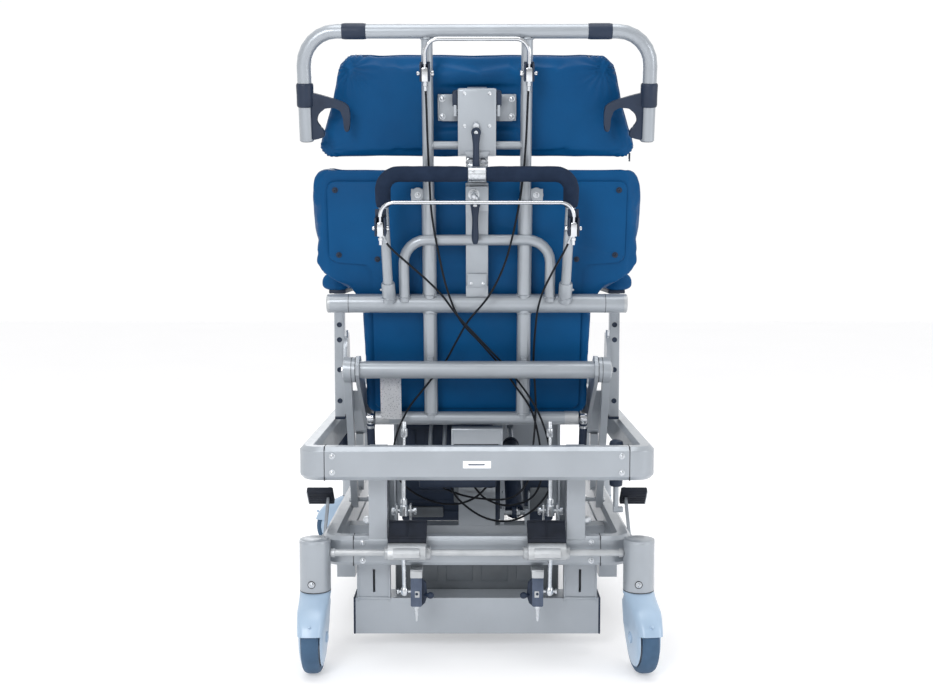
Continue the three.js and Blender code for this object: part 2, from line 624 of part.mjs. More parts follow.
// Clamp levers: a hub with a long arm hanging from it.
function clampLever(x, up, near, far, length) {
  return join(rod(vec(x, near, up), vec(x, far, up), 9, 12),
    rod(vec(x, far - 7, up), vec(x, far, up - length), 5.5, 10));
}
add(back, 'clamp_lever_upper', clampLever(2, 622, 26 + GAP, 50, 62), blackPlastic);
add(back, 'clamp_lever_lower', clampLever(4, 463, 12 + GAP, 44, 80), blackPlastic);

// ---- back cushion: wide wings above, narrower below ----
const backOutline = new THREE.Shape();
backOutline.moveTo(-262, -28);
backOutline.lineTo(-262, 246);
backOutline.lineTo(-352, 290);
backOutline.lineTo(-368, 316);
backOutline.lineTo(-368, 490);
backOutline.lineTo(-334, BACK_CUSHION_TOP);
backOutline.lineTo(334, BACK_CUSHION_TOP);
backOutline.lineTo(368, 490);
backOutline.lineTo(368, 316);
backOutline.lineTo(352, 290);
backOutline.lineTo(262, 246);
backOutline.lineTo(262, -28);
backOutline.lineTo(238, -52);
backOutline.lineTo(-238, -52);
add(back, 'back_cushion', cut(solid(facePlate(backOutline, -110, -24)),
  sidePlate([[-120, -60], [-70, -60], [-112, 6], [-120, 6]], -300, 300)), vinyl);

// ---- leg section ----
function buildLegFrame() {
  const pieces = [box(-228, 228, KNEE.y - 8, KNEE.y - 2, 150, 466)];
  const bores = [];
  for (const [, side] of SIDE_NAMES) {
    pieces.push(box(...mirrored(side, 225, 233), KNEE.y - 14, KNEE.y + 14, 96, KNEE.z));
    pieces.push(crossRod(side * 225, side * 233, KNEE.y, KNEE.z, 22, 20));
    pieces.push(box(...mirrored(side, 225, 233), -408, KNEE.y, 84, 110));
    bores.push(crossRod(side * 215, side * 240, KNEE.y, KNEE.z, KNEE_AXLE_RADIUS + 0.6, 16));
  }
  pieces.push(box(-228, 228, -402, KNEE.y + 14, 84, 94));
  return cut(join(...pieces), ...bores);
}
add(lift, 'leg_frame', buildLegFrame(), paint);
add(lift, 'calf_pad', sidePlate([
  [KNEE.y - 8 - GAP, 160], [KNEE.y - 8 - GAP, 462], [-388, 462], [-400, 446], [-400, 176], [-388, 160],
], -212, 212), vinyl);
add(lift, 'footplate', join(
  box(-221, 221, -610, -414, 86, 96),
  crossRod(-221, 221, -412, 97, 8, 12),
), checkerPlate);

// ---- release cables: from the bail levers down the back and into loops behind the seat ----
const CABLE_RADIUS = 2.4;
const cableRoutes = {
  cable_upper_left: [
    backPoint(111, 26, 736), backPoint(109, 24, 690), backPoint(107, 22, 600), backPoint(104, 26, 520),
    backPoint(99, 34, 440), backPoint(84, 36, 350), backPoint(66, 34, 270), backPoint(38, 30, 200),
    backPoint(-10, 18, 140), backPoint(-52, 14, 88), backPoint(-92, 21, 34), backPoint(-126, 22, -20),
    vec(-146, 250, 440), vec(-152, 256, 370), vec(-128, 264, 318), vec(-70, 270, 300), vec(-20, 270, 316),
    vec(14, 266, 352),
  ],
  cable_upper_right: [
    backPoint(-111, 26, 736), backPoint(-109, 24, 690), backPoint(-106, 22, 600), backPoint(-100, 26, 520),
    backPoint(-86, 34, 430), backPoint(-60, 44, 330), backPoint(-26, 46, 260), backPoint(20, 40, 200),
    backPoint(50, 18, 140), backPoint(74, 13, 94), backPoint(120, 27, 38), backPoint(162, 27, -20),
    vec(192, 258, 440), vec(186, 270, 372), vec(136, 280, 326), vec(60, 288, 306), vec(6, 292, 322),
    vec(-30, 290, 356),
  ],
  cable_lower_left: [
    backPoint(208, 92, 415), backPoint(192, 84, 384), backPoint(150, 72, 340), backPoint(110, 60, 300),
    backPoint(76, 54, 262), backPoint(46, 54, 220), backPoint(-4, 40, 160), backPoint(-36, 24, 120),
    backPoint(-66, 14, 84), backPoint(-112, 34, 30), backPoint(-144, 44, -24), vec(-166, 272, 440),
    vec(-170, 284, 350), vec(-126, 302, 294), vec(-70, 310, 272), vec(-10, 312, 284), vec(50, 308, 332),
    vec(66, 302, 372),
  ],
  cable_lower_right: [
    backPoint(-208, 92, 415), backPoint(-190, 84, 372), backPoint(-166, 66, 320), backPoint(-146, 52, 270),
    backPoint(-136, 40, 226), backPoint(-132, 34, 180), backPoint(-130, 20, 130), backPoint(-130, 16, 87),
    backPoint(-134, 20, 34), backPoint(-136, 24, -20), vec(-130, 264, 440), vec(-116, 278, 356),
    vec(-80, 286, 322), vec(-10, 280, 318), vec(60, 276, 334), vec(116, 272, 366),
  ],
};
for (const [name, points] of Object.entries(cableRoutes)) {
  const curve = new THREE.CatmullRomCurve3(points, false, 'centripetal');
  add(lift, name, tube(curve.getSpacedPoints(24), CABLE_RADIUS, 8), blackPlastic);
}

export default lift;
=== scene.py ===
# Looks of the sit to stand lift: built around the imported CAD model, in millimetres, then scaled.
import json
import math

import bmesh
import bpy
from mathutils import Matrix, Vector, noise
from mathutils.bvhtree import BVHTree


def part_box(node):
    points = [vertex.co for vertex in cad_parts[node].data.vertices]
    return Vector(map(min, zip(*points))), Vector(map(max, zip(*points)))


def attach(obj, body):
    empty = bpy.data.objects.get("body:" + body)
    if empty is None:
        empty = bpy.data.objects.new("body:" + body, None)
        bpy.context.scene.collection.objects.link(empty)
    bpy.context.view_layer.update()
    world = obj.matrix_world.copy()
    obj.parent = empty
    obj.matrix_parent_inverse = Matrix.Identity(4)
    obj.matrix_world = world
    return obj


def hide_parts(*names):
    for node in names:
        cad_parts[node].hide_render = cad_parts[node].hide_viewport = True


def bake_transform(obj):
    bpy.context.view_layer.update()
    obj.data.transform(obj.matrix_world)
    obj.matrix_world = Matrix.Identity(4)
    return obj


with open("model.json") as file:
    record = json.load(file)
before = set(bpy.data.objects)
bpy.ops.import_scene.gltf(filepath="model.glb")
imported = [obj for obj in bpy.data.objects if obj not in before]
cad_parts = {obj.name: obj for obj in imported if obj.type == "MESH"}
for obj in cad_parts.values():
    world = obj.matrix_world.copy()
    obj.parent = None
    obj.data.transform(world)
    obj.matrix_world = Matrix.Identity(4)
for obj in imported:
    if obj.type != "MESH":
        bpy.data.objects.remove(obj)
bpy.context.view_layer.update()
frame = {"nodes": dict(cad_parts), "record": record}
scene = bpy.context.scene

MM = 0.001
LEAN = math.radians(12.84)
BACK = Matrix.Translation((0, 232, 544)) @ Matrix.Rotation(-LEAN, 4, "X")  # back frame: X, behind, up
SIDES = (("left", 1), ("right", -1))
SWELL_FRAMES = 20


def on_back(x, behind, up):
    return BACK @ Vector((x, behind, up))


def in_back(co):
    """A point in metres, in the back frame's millimetres."""
    return BACK.inverted() @ (co / MM)


# ---- materials ----
def shader_of(made):
    return made.node_tree.nodes["Principled BSDF"]


def finish_of(name, colour, roughness, metallic=0.0, coat=0.0, specular=0.5):
    made = bpy.data.materials.new(name)
    made.use_nodes = True
    shader = shader_of(made)
    shader.inputs["Base Color"].default_value = (*colour, 1)
    shader.inputs["Roughness"].default_value = roughness
    shader.inputs["Metallic"].default_value = metallic
    shader.inputs["Coat Weight"].default_value = coat
    shader.inputs["Coat Roughness"].default_value = 0.15
    shader.inputs["Specular IOR Level"].default_value = specular
    return made


def link(made, source, output, target, entry):
    made.node_tree.links.new(source.outputs[output], target.inputs[entry])


def noise_node(made, scale, detail=3.0, roughness=0.5):
    nodes = made.node_tree.nodes
    place = nodes.new("ShaderNodeTexCoord")
    texture = nodes.new("ShaderNodeTexNoise")
    texture.inputs["Scale"].default_value = scale
    texture.inputs["Detail"].default_value = detail
    texture.inputs["Roughness"].default_value = roughness
    link(made, place, "Object", texture, "Vector")
    return texture


def ramp_node(made, source, output, stops):
    ramp = made.node_tree.nodes.new("ShaderNodeValToRGB")
    ramp.color_ramp.elements[0].position = stops[0][0]
    ramp.color_ramp.elements[0].color = (*stops[0][1], 1)
    ramp.color_ramp.elements[1].position = stops[1][0]
    ramp.color_ramp.elements[1].color = (*stops[1][1], 1)
    link(made, source, output, ramp, "Fac")
    return ramp


def vary_colour(made, scale, low, high, detail=4.0):
    texture = noise_node(made, scale, detail)
    ramp = ramp_node(made, texture, "Fac", [(0.3, low), (0.7, high)])
    link(made, ramp, "Color", shader_of(made), "Base Color")


def vary_roughness(made, scale, low, high):
    texture = noise_node(made, scale, 5.0, 0.6)
    spread = made.node_tree.nodes.new("ShaderNodeMapRange")
    spread.inputs["From Min"].default_value = 0.3
    spread.inputs["From Max"].default_value = 0.7
    spread.inputs["To Min"].default_value = low
    spread.inputs["To Max"].default_value = high
    link(made, texture, "Fac", spread, "Value")
    link(made, spread, "Result", shader_of(made), "Roughness")


def bump_from(made, texture, output, strength, distance, under=None):
    bump = made.node_tree.nodes.new("ShaderNodeBump")
    bump.inputs["Strength"].default_value = strength
    bump.inputs["Distance"].default_value = distance
    link(made, texture, output, bump, "Height")
    if under:
        link(made, under, "Normal", bump, "Normal")
    link(made, bump, "Normal", shader_of(made), "Normal")
    return bump


def cells_node(made, scales):
    """Cell texture, with its own scale on each axis."""
    nodes = made.node_tree.nodes
    place = nodes.new("ShaderNodeTexCoord")
    stretch = nodes.new("ShaderNodeMapping")
    stretch.inputs["Scale"].default_value = scales
    cells = nodes.new("ShaderNodeTexVoronoi")
    cells.inputs["Scale"].default_value = 1
    link(made, place, "Object", stretch, "Vector")
    link(made, stretch, "Vector", cells, "Vector")
    return cells


def glow(made, colour, strength):
    shader_of(made).inputs["Emission Color"].default_value = (*colour, 1)
    shader_of(made).inputs["Emission Strength"].default_value = strength


# Each finish: colour, roughness, other shader values, then how it varies. Colours and roughness vary
# between two values at a noise scale; grain is a bump of (noise scale, detail, strength, metres).
def surface(name, colour, roughness, tints=None, sheen=None, grain=None, **shader):
    made = finish_of(name, colour, roughness, **shader)
    if tints:
        vary_colour(made, *tints)
    if sheen:
        vary_roughness(made, *sheen)
    if grain:
        scale, detail, strength, height = grain
        bump_from(made, noise_node(made, scale, detail), "Fac", strength, height)
    return made


paint = surface(
    "silver_paint", (0.36, 0.392, 0.43), 0.36, (9, (0.34, 0.37, 0.406), (0.38, 0.414, 0.454)),
    (60, 0.30, 0.43), (900, 2.0, 0.12, 0.0004), metallic=0.4, coat=0.3,
)
vinyl = surface(
    "blue_vinyl", (0.001, 0.064, 0.188), 0.42, (7, (0.0008, 0.056, 0.168), (0.0014, 0.073, 0.21)),
    (30, 0.42, 0.55), specular=0.13,
)
broad = bump_from(vinyl, noise_node(vinyl, 22, 3.0), "Fac", 0.25, 0.003)
bump_from(vinyl, cells_node(vinyl, (620, 620, 620)), "Distance", 0.25, 0.0006, broad)
foam = surface(
    "grip_foam", (0.010, 0.020, 0.045), 0.85, (40, (0.008, 0.017, 0.039), (0.013, 0.025, 0.054)),
    specular=0.2,
)
bump_from(foam, cells_node(foam, (900, 900, 900)), "Distance", 0.5, 0.0008)
plastic = surface(
    "black_plastic", (0.014, 0.026, 0.052), 0.46, (25, (0.012, 0.022, 0.045), (0.018, 0.031, 0.061)),
    (80, 0.42, 0.56), (1100, 2.0, 0.2, 0.0004), specular=0.35,
)
chrome = surface(
    "chrome", (0.66, 0.68, 0.71), 0.12, sheen=(45, 0.07, 0.2), grain=(160, 2.0, 0.03, 0.0003), metallic=1.0,
)
zinc = surface(
    "zinc", (0.62, 0.65, 0.68), 0.3, (130, (0.55, 0.58, 0.61), (0.68, 0.71, 0.75)), (200, 0.22, 0.42),
    metallic=0.95,
)
castor_plastic = surface(
    "castor_plastic", (0.36, 0.48, 0.62), 0.33, (14, (0.335, 0.45, 0.585), (0.385, 0.51, 0.655)),
    grain=(500, 2.0, 0.1, 0.0004), coat=0.15,
)
tyre = surface(
    "castor_tyre", (0.042, 0.09, 0.16), 0.6, (30, (0.042, 0.09, 0.16), (0.06, 0.122, 0.212)),
    grain=(350, 4.0, 0.3, 0.0006), specular=0.3,
)
rubber = surface(
    "pedal_rubber", (0.010, 0.014, 0.024), 0.62, (35, (0.008, 0.011, 0.019), (0.015, 0.020, 0.033)),
    grain=(420, 4.0, 0.35, 0.0006), specular=0.3,
)
cast = surface(
    "cast_metal", (0.47, 0.49, 0.51), 0.42, (28, (0.42, 0.44, 0.46), (0.52, 0.54, 0.56)),
    grain=(260, 5.0, 0.3, 0.0006), metallic=0.6,
)
anodised = surface(
    "anodised_block", (0.085, 0.105, 0.155), 0.34, (60, (0.07, 0.09, 0.135), (0.10, 0.125, 0.18)),
    (120, 0.28, 0.42), metallic=0.7,
)
plate = surface(
    "tread_plate", (0.55, 0.55, 0.55), 0.35, sheen=(70, 0.28, 0.5), grain=(240, 4.0, 0.2, 0.0005),
    metallic=0.9,
)
sheath = surface(
    "cable_sheath", (0.005, 0.007, 0.011), 0.4, (40, (0.004, 0.0055, 0.009), (0.006, 0.0085, 0.013)),
    (90, 0.34, 0.5), specular=0.2,
)
dark = surface(
    "dark_gap", (0.02, 0.022, 0.026), 0.7, (50, (0.016, 0.018, 0.022), (0.026, 0.028, 0.033)),
)
# Painted shade: a darker copy of the frame paint, for the pump cover, the battery sockets and the plates
# behind the hanger slots, where shade falls under the seat and behind the slots.
shade = surface(
    "painted_shade", (0.13, 0.145, 0.16), 0.5, (12, (0.115, 0.128, 0.14), (0.145, 0.162, 0.18)),
    (60, 0.42, 0.58), metallic=0.3,
)
paper = surface(
    "glowing_label_paper", (0.80, 0.81, 0.83), 0.6, (60, (0.76, 0.77, 0.79), (0.84, 0.85, 0.87)),
    grain=(700, 3.0, 0.2, 0.0003),
)
# Painted light: the label glows a little, so it stays bright where it stands in shade.
glow(paper, (0.9, 0.92, 0.95), 0.3)
tag_paper = finish_of("tag_paper", (0.80, 0.81, 0.83), 0.6)
vary_roughness(tag_paper, 60, 0.5, 0.7)
print_cells = cells_node(tag_paper, (260, 60, 300))
print_greys = [(0.18, (0.42, 0.43, 0.46)), (0.34, (0.82, 0.83, 0.85))]
print_ramp = ramp_node(tag_paper, print_cells, "Distance", print_greys)
link(tag_paper, print_ramp, "Color", shader_of(tag_paper), "Base Color")

CAD_FINISH = {
    "frame_paint": paint, "blue_vinyl": vinyl, "grip_foam": foam, "black_plastic": plastic,
    "chrome_trim": chrome, "castor_plastic": castor_plastic, "castor_tyre": tyre,
    "bare_plate": plate, "cable_black": sheath,
}

for part in frame["record"]["subparts"]:
    node = frame["nodes"][part["node"]]
    node.data.materials.clear()
    node.data.materials.append(CAD_FINISH[part["material_slot"]])
    node.data.polygons.foreach_set("use_smooth", [True] * len(node.data.polygons))
    weld = node.modifiers.new("weld", "WELD")
    weld.merge_threshold = 0.00005
    bevel = node.modifiers.new("edges", "BEVEL")
    bevel.width = 0.0012
    bevel.segments = 2
    bevel.limit_method = "ANGLE"
    bevel.angle_limit = math.radians(40)
    node.modifiers.new("shading", "WEIGHTED_NORMAL")
frame["nodes"]["brake_axle"].data.materials[0] = cast


# ---- mesh helpers, in millimetres ----
def mesh_of(bm, name):
    """Turns an edit mesh into a plain one, with its normals facing out."""
    bmesh.ops.recalc_face_normals(bm, faces=bm.faces)
    mesh = bpy.data.meshes.new(name)
    bm.to_mesh(mesh)
    bm.free()
    return mesh


def make(name, bm, finish, body, place=None, angle=38, ride=True):
    bm.transform(Matrix.Scale(MM, 4) @ (place or Matrix.Identity(4)))
    return wear(name, mesh_of(bm, name), finish, body, angle, ride)


def wear(name, mesh, finish, body, angle=38, ride=True):
    """Links a mesh in metres as one piece, with its finish and its body."""
    mesh.materials.append(finish)
    mesh.polygons.foreach_set("use_smooth", [True] * len(mesh.polygons))
    mesh.set_sharp_from_angle(angle=math.radians(angle))
    piece = bpy.data.objects.new(name, mesh)
    scene.collection.objects.link(piece)
    if ride:
        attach(piece, body)
    return piece


def absorb(bm, part):
    mesh = bpy.data.meshes.new("part")
    part.to_mesh(mesh)
    part.free()
    bm.from_mesh(mesh)
    bpy.data.meshes.remove(mesh)


def circle(bm, centre, across, up, radius, sides):
    turns = [2 * math.pi * k / sides for k in range(sides)]
    return [
        bm.verts.new(centre + across * (radius * math.cos(a)) + up * (radius * math.sin(a))) for a in turns
    ]


def skin_wall(bm, rings):
    """Joins rings of vertices one to the next; a ring of one vertex is a point."""
    for lower, upper in zip(rings, rings[1:]):
        count = max(len(lower), len(upper))
        for k in range(count):
            n = (k + 1) % count
            if len(lower) == 1:
                bm.faces.new((lower[0], upper[n], upper[k]))
            elif len(upper) == 1:
                bm.faces.new((lower[k], lower[n], upper[0]))
            else:
                bm.faces.new((lower[k], lower[n], upper[n], upper[k]))


def skin(bm, rings):
    """Joins rings of vertices and closes both ends."""
    skin_wall(bm, rings)
    bm.faces.new(rings[0])
    bm.faces.new(list(reversed(rings[-1])))


def add_box(bm, low, high, bevel=1.5, segments=2):
    part = bmesh.new()
    bmesh.ops.create_cube(part, size=1)
    for vert in part.verts:
        vert.co = Vector(low[i] + (vert.co[i] + 0.5) * (high[i] - low[i]) for i in range(3))
    bmesh.ops.bevel(part, geom=part.edges[:], offset=bevel, segments=segments, affect="EDGES", profile=0.5)
    absorb(bm, part)


def frames_along(points):
    """Two directions across a path at each of its points, turned as little as possible."""
    points = [Vector(p) for p in points]
    tangents = []
    for i in range(len(points)):
        before, after = points[max(i - 1, 0)], points[min(i + 1, len(points) - 1)]
        tangents.append((after - before).normalized())
    across = tangents[0].orthogonal().normalized()
    framed = []
    for point, tangent in zip(points, tangents):
        across = (across - tangent * across.dot(tangent)).normalized()
        framed.append((point, across, tangent.cross(across)))
    return framed


def add_tube(bm, points, radius, sides=20):
    """Round tube through the points; radius is one number or one for each point."""
    radii = radius if isinstance(radius, list) else [radius] * len(points)
    skin(bm, [circle(bm, *framed, r, sides) for framed, r in zip(frames_along(points), radii)])


def add_lathe(bm, origin, direction, profile, sides=28):
    """Turns (radius, height) pairs about an axis; a zero radius closes the end."""
    direction = Vector(direction).normalized()
    across = direction.orthogonal().normalized()
    up = direction.cross(across)
    rings = []
    for r, height in profile:
        base = Vector(origin) + direction * height
        rings.append(circle(bm, base, across, up, r, sides) if r > 0 else [bm.verts.new(base)])
    skin_wall(bm, rings)


def add_prism(bm, outline, start, depth, bevel=1.2, segments=2):
    """Extrudes an outline of (x, z) pairs along Y from start by depth, with its rims rounded."""
    part = bmesh.new()
    skin(part, [[part.verts.new((x, y, z)) for x, z in outline] for y in (start, start + depth)])
    rims = [e for e in part.edges if abs(e.verts[0].co.y - e.verts[1].co.y) < 1e-6]
    bmesh.ops.bevel(part, geom=rims, offset=bevel, segments=segments, affect="EDGES", profile=0.5)
    absorb(bm, part)


def arc_at(before, corner, after, radius, steps):
    incoming = (corner - before).normalized()
    outgoing = (after - corner).normalized()
    angle = incoming.angle(outgoing)
    start = corner - incoming * (radius * math.tan(angle / 2))
    inward = (outgoing - incoming * outgoing.dot(incoming)).normalized()
    centre = start + inward * radius
    turns = [angle * k / steps for k in range(steps + 1)]
    return [centre - inward * (radius * math.cos(a)) + incoming * (radius * math.sin(a)) for a in turns]


def rounded(points, radius, steps=6):
    """Rounds the corners inside a polyline."""
    points = [Vector(p) for p in points]
    made = [points[0]]
    for before, corner, after in zip(points, points[1:], points[2:]):
        made += arc_at(before, corner, after, radius, steps)
    return made + [points[-1]]


def rounded_ring(points, radii, steps=5):
    """Closed outline of (x, z) pairs with its corners rounded; radii is one number or one for each."""
    points = [Vector(p) for p in points]
    radii = radii if isinstance(radii, list) else [radii] * len(points)
    ring = []
    for i, radius in enumerate(radii):
        ring += arc_at(points[i - 1], points[i], points[(i + 1) % len(points)], radius, steps)
    return [(p.x, p.y) for p in ring]


def densified(points, step):
    made = []
    for a, b in zip(points, points[1:]):
        a, b = Vector(a), Vector(b)
        count = max(1, round((b - a).length / step))
        made += [a.lerp(b, k / count) for k in range(count)]
    return made + [Vector(points[-1])]


# ---- shapes: each is drawn on the left (side 1) and mirrored for the right (side -1) ----
def mirrored(side, point):
    return (side * point[0], point[1], point[2])


def box(low, high, bevel=1.5, segments=2):
    def add(bm, side):
        spans = list(zip(mirrored(side, low), mirrored(side, high)))
        add_box(bm, [min(span) for span in spans], [max(span) for span in spans], bevel, segments)
    return add


def tube(points, radius, sides=20):
    return lambda bm, side: add_tube(bm, [mirrored(side, p) for p in points], radius, sides)


def turned(origin, direction, profile, sides=28):
    return lambda bm, side: add_lathe(bm, mirrored(side, origin), mirrored(side, direction), profile, sides)


def prism(outline, start, depth, bevel=1.2, segments=2):
    return lambda bm, side: add_prism(bm, [(side * x, z) for x, z in outline], start, depth, bevel, segments)


def screw(place, direction, r):
    """Washer and domed head with a socket."""
    return turned(place, direction, [
        (0, -1), (r * 1.45, -1), (r * 1.45, 0.8), (r * 1.35, 1.2), (r, 1.2), (r, 2.6), (r * 0.85, 4.2),
        (r * 0.5, 4.8), (r * 0.45, 4.6), (r * 0.42, 2.0), (0, 2.0),
    ], 20)


def hexagon(place, direction, r, height):
    """Hexagon head on a washer."""
    top = height + 0.8
    washer = turned(place, direction, [(0, -1), (r * 1.5, -1), (r * 1.5, 0.9), (r * 1.4, 1.2), (0, 1.2)], 20)
    head = turned(place, direction, [(0, 1), (r, 1), (r, height), (r * 0.9, top), (0, top)], 6)

    def add(bm, side):
        washer(bm, side)
        head(bm, side)
    return add


def build(name, finish, body, shapes=(), pairs=(), side=1, place=None, angle=38):
    """One piece: shapes on the given side, and pairs on both sides."""
    bm = bmesh.new()
    for shape in shapes:
        shape(bm, side)
    for shape in pairs:
        shape(bm, 1)
        shape(bm, -1)
    return make(name, bm, finish, body, place, angle)


def back_piece(name, finish, body, shapes=(), pairs=(), side=1, angle=38):
    """One piece given in the back frame's own axes: X, behind, up."""
    return build(name, finish, body, shapes, pairs, side, BACK, angle)


# ---- cushions ----
def outline_solid(outline, front, rear, place):
    """Closed mesh in metres: an outline of (x, up) pairs between two depths of a local frame."""
    bm = bmesh.new()
    add_prism(bm, outline, front, rear - front, bevel=min(16, (rear - front) / 4), segments=3)
    bm.transform(Matrix.Scale(MM, 4) @ place)
    return mesh_of(bm, "outline")


def evaluated_copy(piece):
    graph = bpy.context.evaluated_depsgraph_get()
    return bpy.data.meshes.new_from_object(piece.evaluated_get(graph))


def refit(mesh, rest, place, plane, grow):
    """Stretches a swollen pad back over its own outline, because swelling draws the edges in."""
    inward = place.inverted()
    before = [inward @ (co / MM) for co in rest]
    after = [inward @ (vert.co / MM) for vert in mesh.vertices]
    for axis in plane:
        low, high = min(p[axis] for p in before) - grow, max(p[axis] for p in before) + grow
        now_low, now_high = min(p[axis] for p in after), max(p[axis] for p in after)
        for p in after:
            p[axis] = low + (p[axis] - now_low) * (high - low) / (now_high - now_low)
    for vert, p in zip(mesh.vertices, after):
        vert.co = (place @ p) * MM


def swell(piece, held, pressure):
    """Inflates a piece as cloth for a few frames, with the held vertices pinned."""
    group = piece.vertex_groups.new(name="held")
    group.add([i for i, fixed in enumerate(held) if fixed], 1.0, "REPLACE")
    cloth = piece.modifiers.new("cloth", "CLOTH")
    cloth.settings.quality = 5
    cloth.settings.mass = 0.3
    cloth.settings.tension_stiffness = 15
    cloth.settings.compression_stiffness = 15
    cloth.settings.bending_stiffness = 0.5
    cloth.settings.use_pressure = True
    cloth.settings.uniform_pressure_force = pressure
    cloth.settings.effector_weights.gravity = 0
    cloth.settings.vertex_group_mass = "held"
    cloth.collision_settings.use_collision = False
    cloth.collision_settings.use_self_collision = False
    cloth.point_cache.frame_start = 1
    cloth.point_cache.frame_end = SWELL_FRAMES
    for number in range(1, SWELL_FRAMES + 1):
        scene.frame_set(number)


def stuffed(mesh, cap, is_held, place, plane, grow=2, pressure=4.0):
    """Swells a closed mesh as filled cloth: remeshed, inflated by simulation, capped, subdivided once."""
    piece = bpy.data.objects.new("stuffing", mesh)
    scene.collection.objects.link(piece)
    remesh = piece.modifiers.new("remesh", "REMESH")
    remesh.mode = "VOXEL"
    remesh.voxel_size = 0.0075
    base = evaluated_copy(piece)
    piece.modifiers.clear()
    piece.data = base
    rest = [v.co.copy() for v in base.vertices]
    held = [is_held(co) for co in rest]
    swell(piece, held, pressure)
    settled = evaluated_copy(piece)
    for vert, before, fixed in zip(settled.vertices, rest, held):
        move = vert.co - before
        if fixed:
            vert.co = before
        elif move.length > cap:
            vert.co = before + move * (cap / move.length)
    refit(settled, rest, place, plane, grow)
    piece.modifiers.clear()
    piece.data = settled
    fine = piece.modifiers.new("fine", "SUBSURF")
    fine.levels = 1
    fine.subdivision_type = "CATMULL_CLARK"
    result = evaluated_copy(piece)
    bpy.data.objects.remove(piece)
    return result


def displace(mesh, moves):
    """Moves vertices along their normals by the given amounts, all read before any is moved."""
    shifts = [(vert, vert.normal * amount) for vert, amount in moves]
    for vert, shift in shifts:
        vert.co += shift


def distance_to_line(point, line):
    best = math.inf
    for a, b in zip(line, line[1:]):
        span = b - a
        share = max(0.0, min(1.0, (point - a).dot(span) / span.length_squared))
        best = min(best, (point - a - span * share).length)
    return best


def crease(mesh, line, depth, width, only):
    """Sinks a sewn line into a cushion's surface. Line, depth and width in metres."""
    moves = []
    for vert in mesh.vertices:
        d = distance_to_line(vert.co, line)
        if only(vert.co) and d < 3 * width:
            moves.append((vert, -depth * math.exp(-(d / width) ** 2)))
    displace(mesh, moves)


def ripple(mesh, height, scale, near=lambda co: True):
    """Slack folds in the cover: smooth noise pushed along the normals."""
    moves = []
    for vert in mesh.vertices:
        if near(vert.co):
            value = noise.noise(vert.co * scale) + 0.4 * noise.noise(vert.co * scale * 2.3)
            moves.append((vert, height * value))
    displace(mesh, moves)


def gather(mesh, centre, reach, height, folds):
    """Fan of small folds round a corner, in the back frame's millimetres."""
    moves = []
    for vert in mesh.vertices:
        local = in_back(vert.co)
        away = Vector((local.x - centre[0], local.z - centre[1]))
        if 4 < away.length < reach:
            fade = (1 - away.length / reach) ** 1.2 * min(1.0, away.length / 14)
            angle = math.atan2(away.y, away.x)
            moves.append((vert, height * fade * math.sin(angle * folds)))
    displace(mesh, moves)


def cover(name, mesh, body):
    piece = wear(f"{name}_cover", mesh, vinyl, body, 180)
    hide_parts(name)


def piping(name, mesh, line, body, radius=2.2):
    """A welt laid on a cushion round a closed line given in millimetres."""
    tree = BVHTree.FromPolygons([v.co for v in mesh.vertices], [p.vertices for p in mesh.polygons])
    points = []
    for p in densified(line + line[:1], 9):
        place, normal, _, _ = tree.find_nearest(p * MM)
        points.append((place + normal * 0.0008) / MM)
    smooth = [(before + here * 2 + after) / 4 for before, here, after in zip(points, points[1:], points[2:])]
    bm = bmesh.new()
    add_tube(bm, [points[0], *smooth, points[-1]], radius, 8)
    make(name, bm, vinyl, body)


def inset_ring(low, high, first, second, radius):
    """Rounded rectangle 6 mm inside a box's faces, seen along the remaining axis."""
    a0, a1, b0, b1 = low[first] + 6, high[first] - 6, low[second] + 6, high[second] - 6
    return rounded_ring([(a0, b0), (a0, b1), (a1, b1), (a1, b0)], radius)


# Back cushion: a swollen pad on a flat board, which shows as a raised panel on the rear face.
BACK_FACE = -30
back_outline = rounded_ring([
    (-256, -46), (-256, 243), (-352, 288), (-364, 318), (-364, 523), (364, 523),
    (364, 318), (352, 288), (256, 243), (256, -46),
], [22, 40, 30, 18, 30, 30, 18, 30, 40, 22])
back_mesh = stuffed(
    outline_solid(back_outline, -102, BACK_FACE, BACK), 0.013,
    lambda co: abs(in_back(co).y - BACK_FACE) < 3 and abs(co.x) < 0.33, BACK, (0, 2), 8,
)
for side in (1, -1):
    seam = [on_back(side * 238, -27, z) * MM for z in (-40, 60, 160, 228)]
    crease(back_mesh, seam, 0.004, 0.007, lambda co: in_back(co).y > -45)
ripple(back_mesh, 0.0005, 12)
cover("back_cushion", back_mesh, "back")
board = rounded_ring([
    (-335, 505), (-335, 322), (-239, 314), (-239, -32), (239, -32), (239, 314), (335, 322), (335, 505),
], [16, 16, 14, 12, 12, 14, 16, 16])
back_piece("back_panel", vinyl, "back", [prism(board, -32, 7.5, 4, 3)])
back_piece("panel_screws", plastic, "back", pairs=[
    screw((x, -24.5, z), (0, 1, 0), 4.6) for x, z in ((317, 486), (313, 338), (226, 328))
])
piping("back_cushion_welt", back_mesh, [on_back(x, -98, z) for x, z in back_outline], "back")

# Head cushion: gathered upper corners, pointed lower corners, a zip along the lower edge.
HEAD_FACE = -47
head_outline = rounded_ring([
    (-349, 574), (-301, 752), (-278, 773), (278, 773), (301, 752), (349, 574), (330, 557), (-330, 557),
], [10, 18, 18, 18, 18, 10, 14, 14])


def under_wings(co):
    local = in_back(co)
    return abs(local.y - HEAD_FACE) < 3 and abs(local.x) < 100 and 625 < local.z < 705


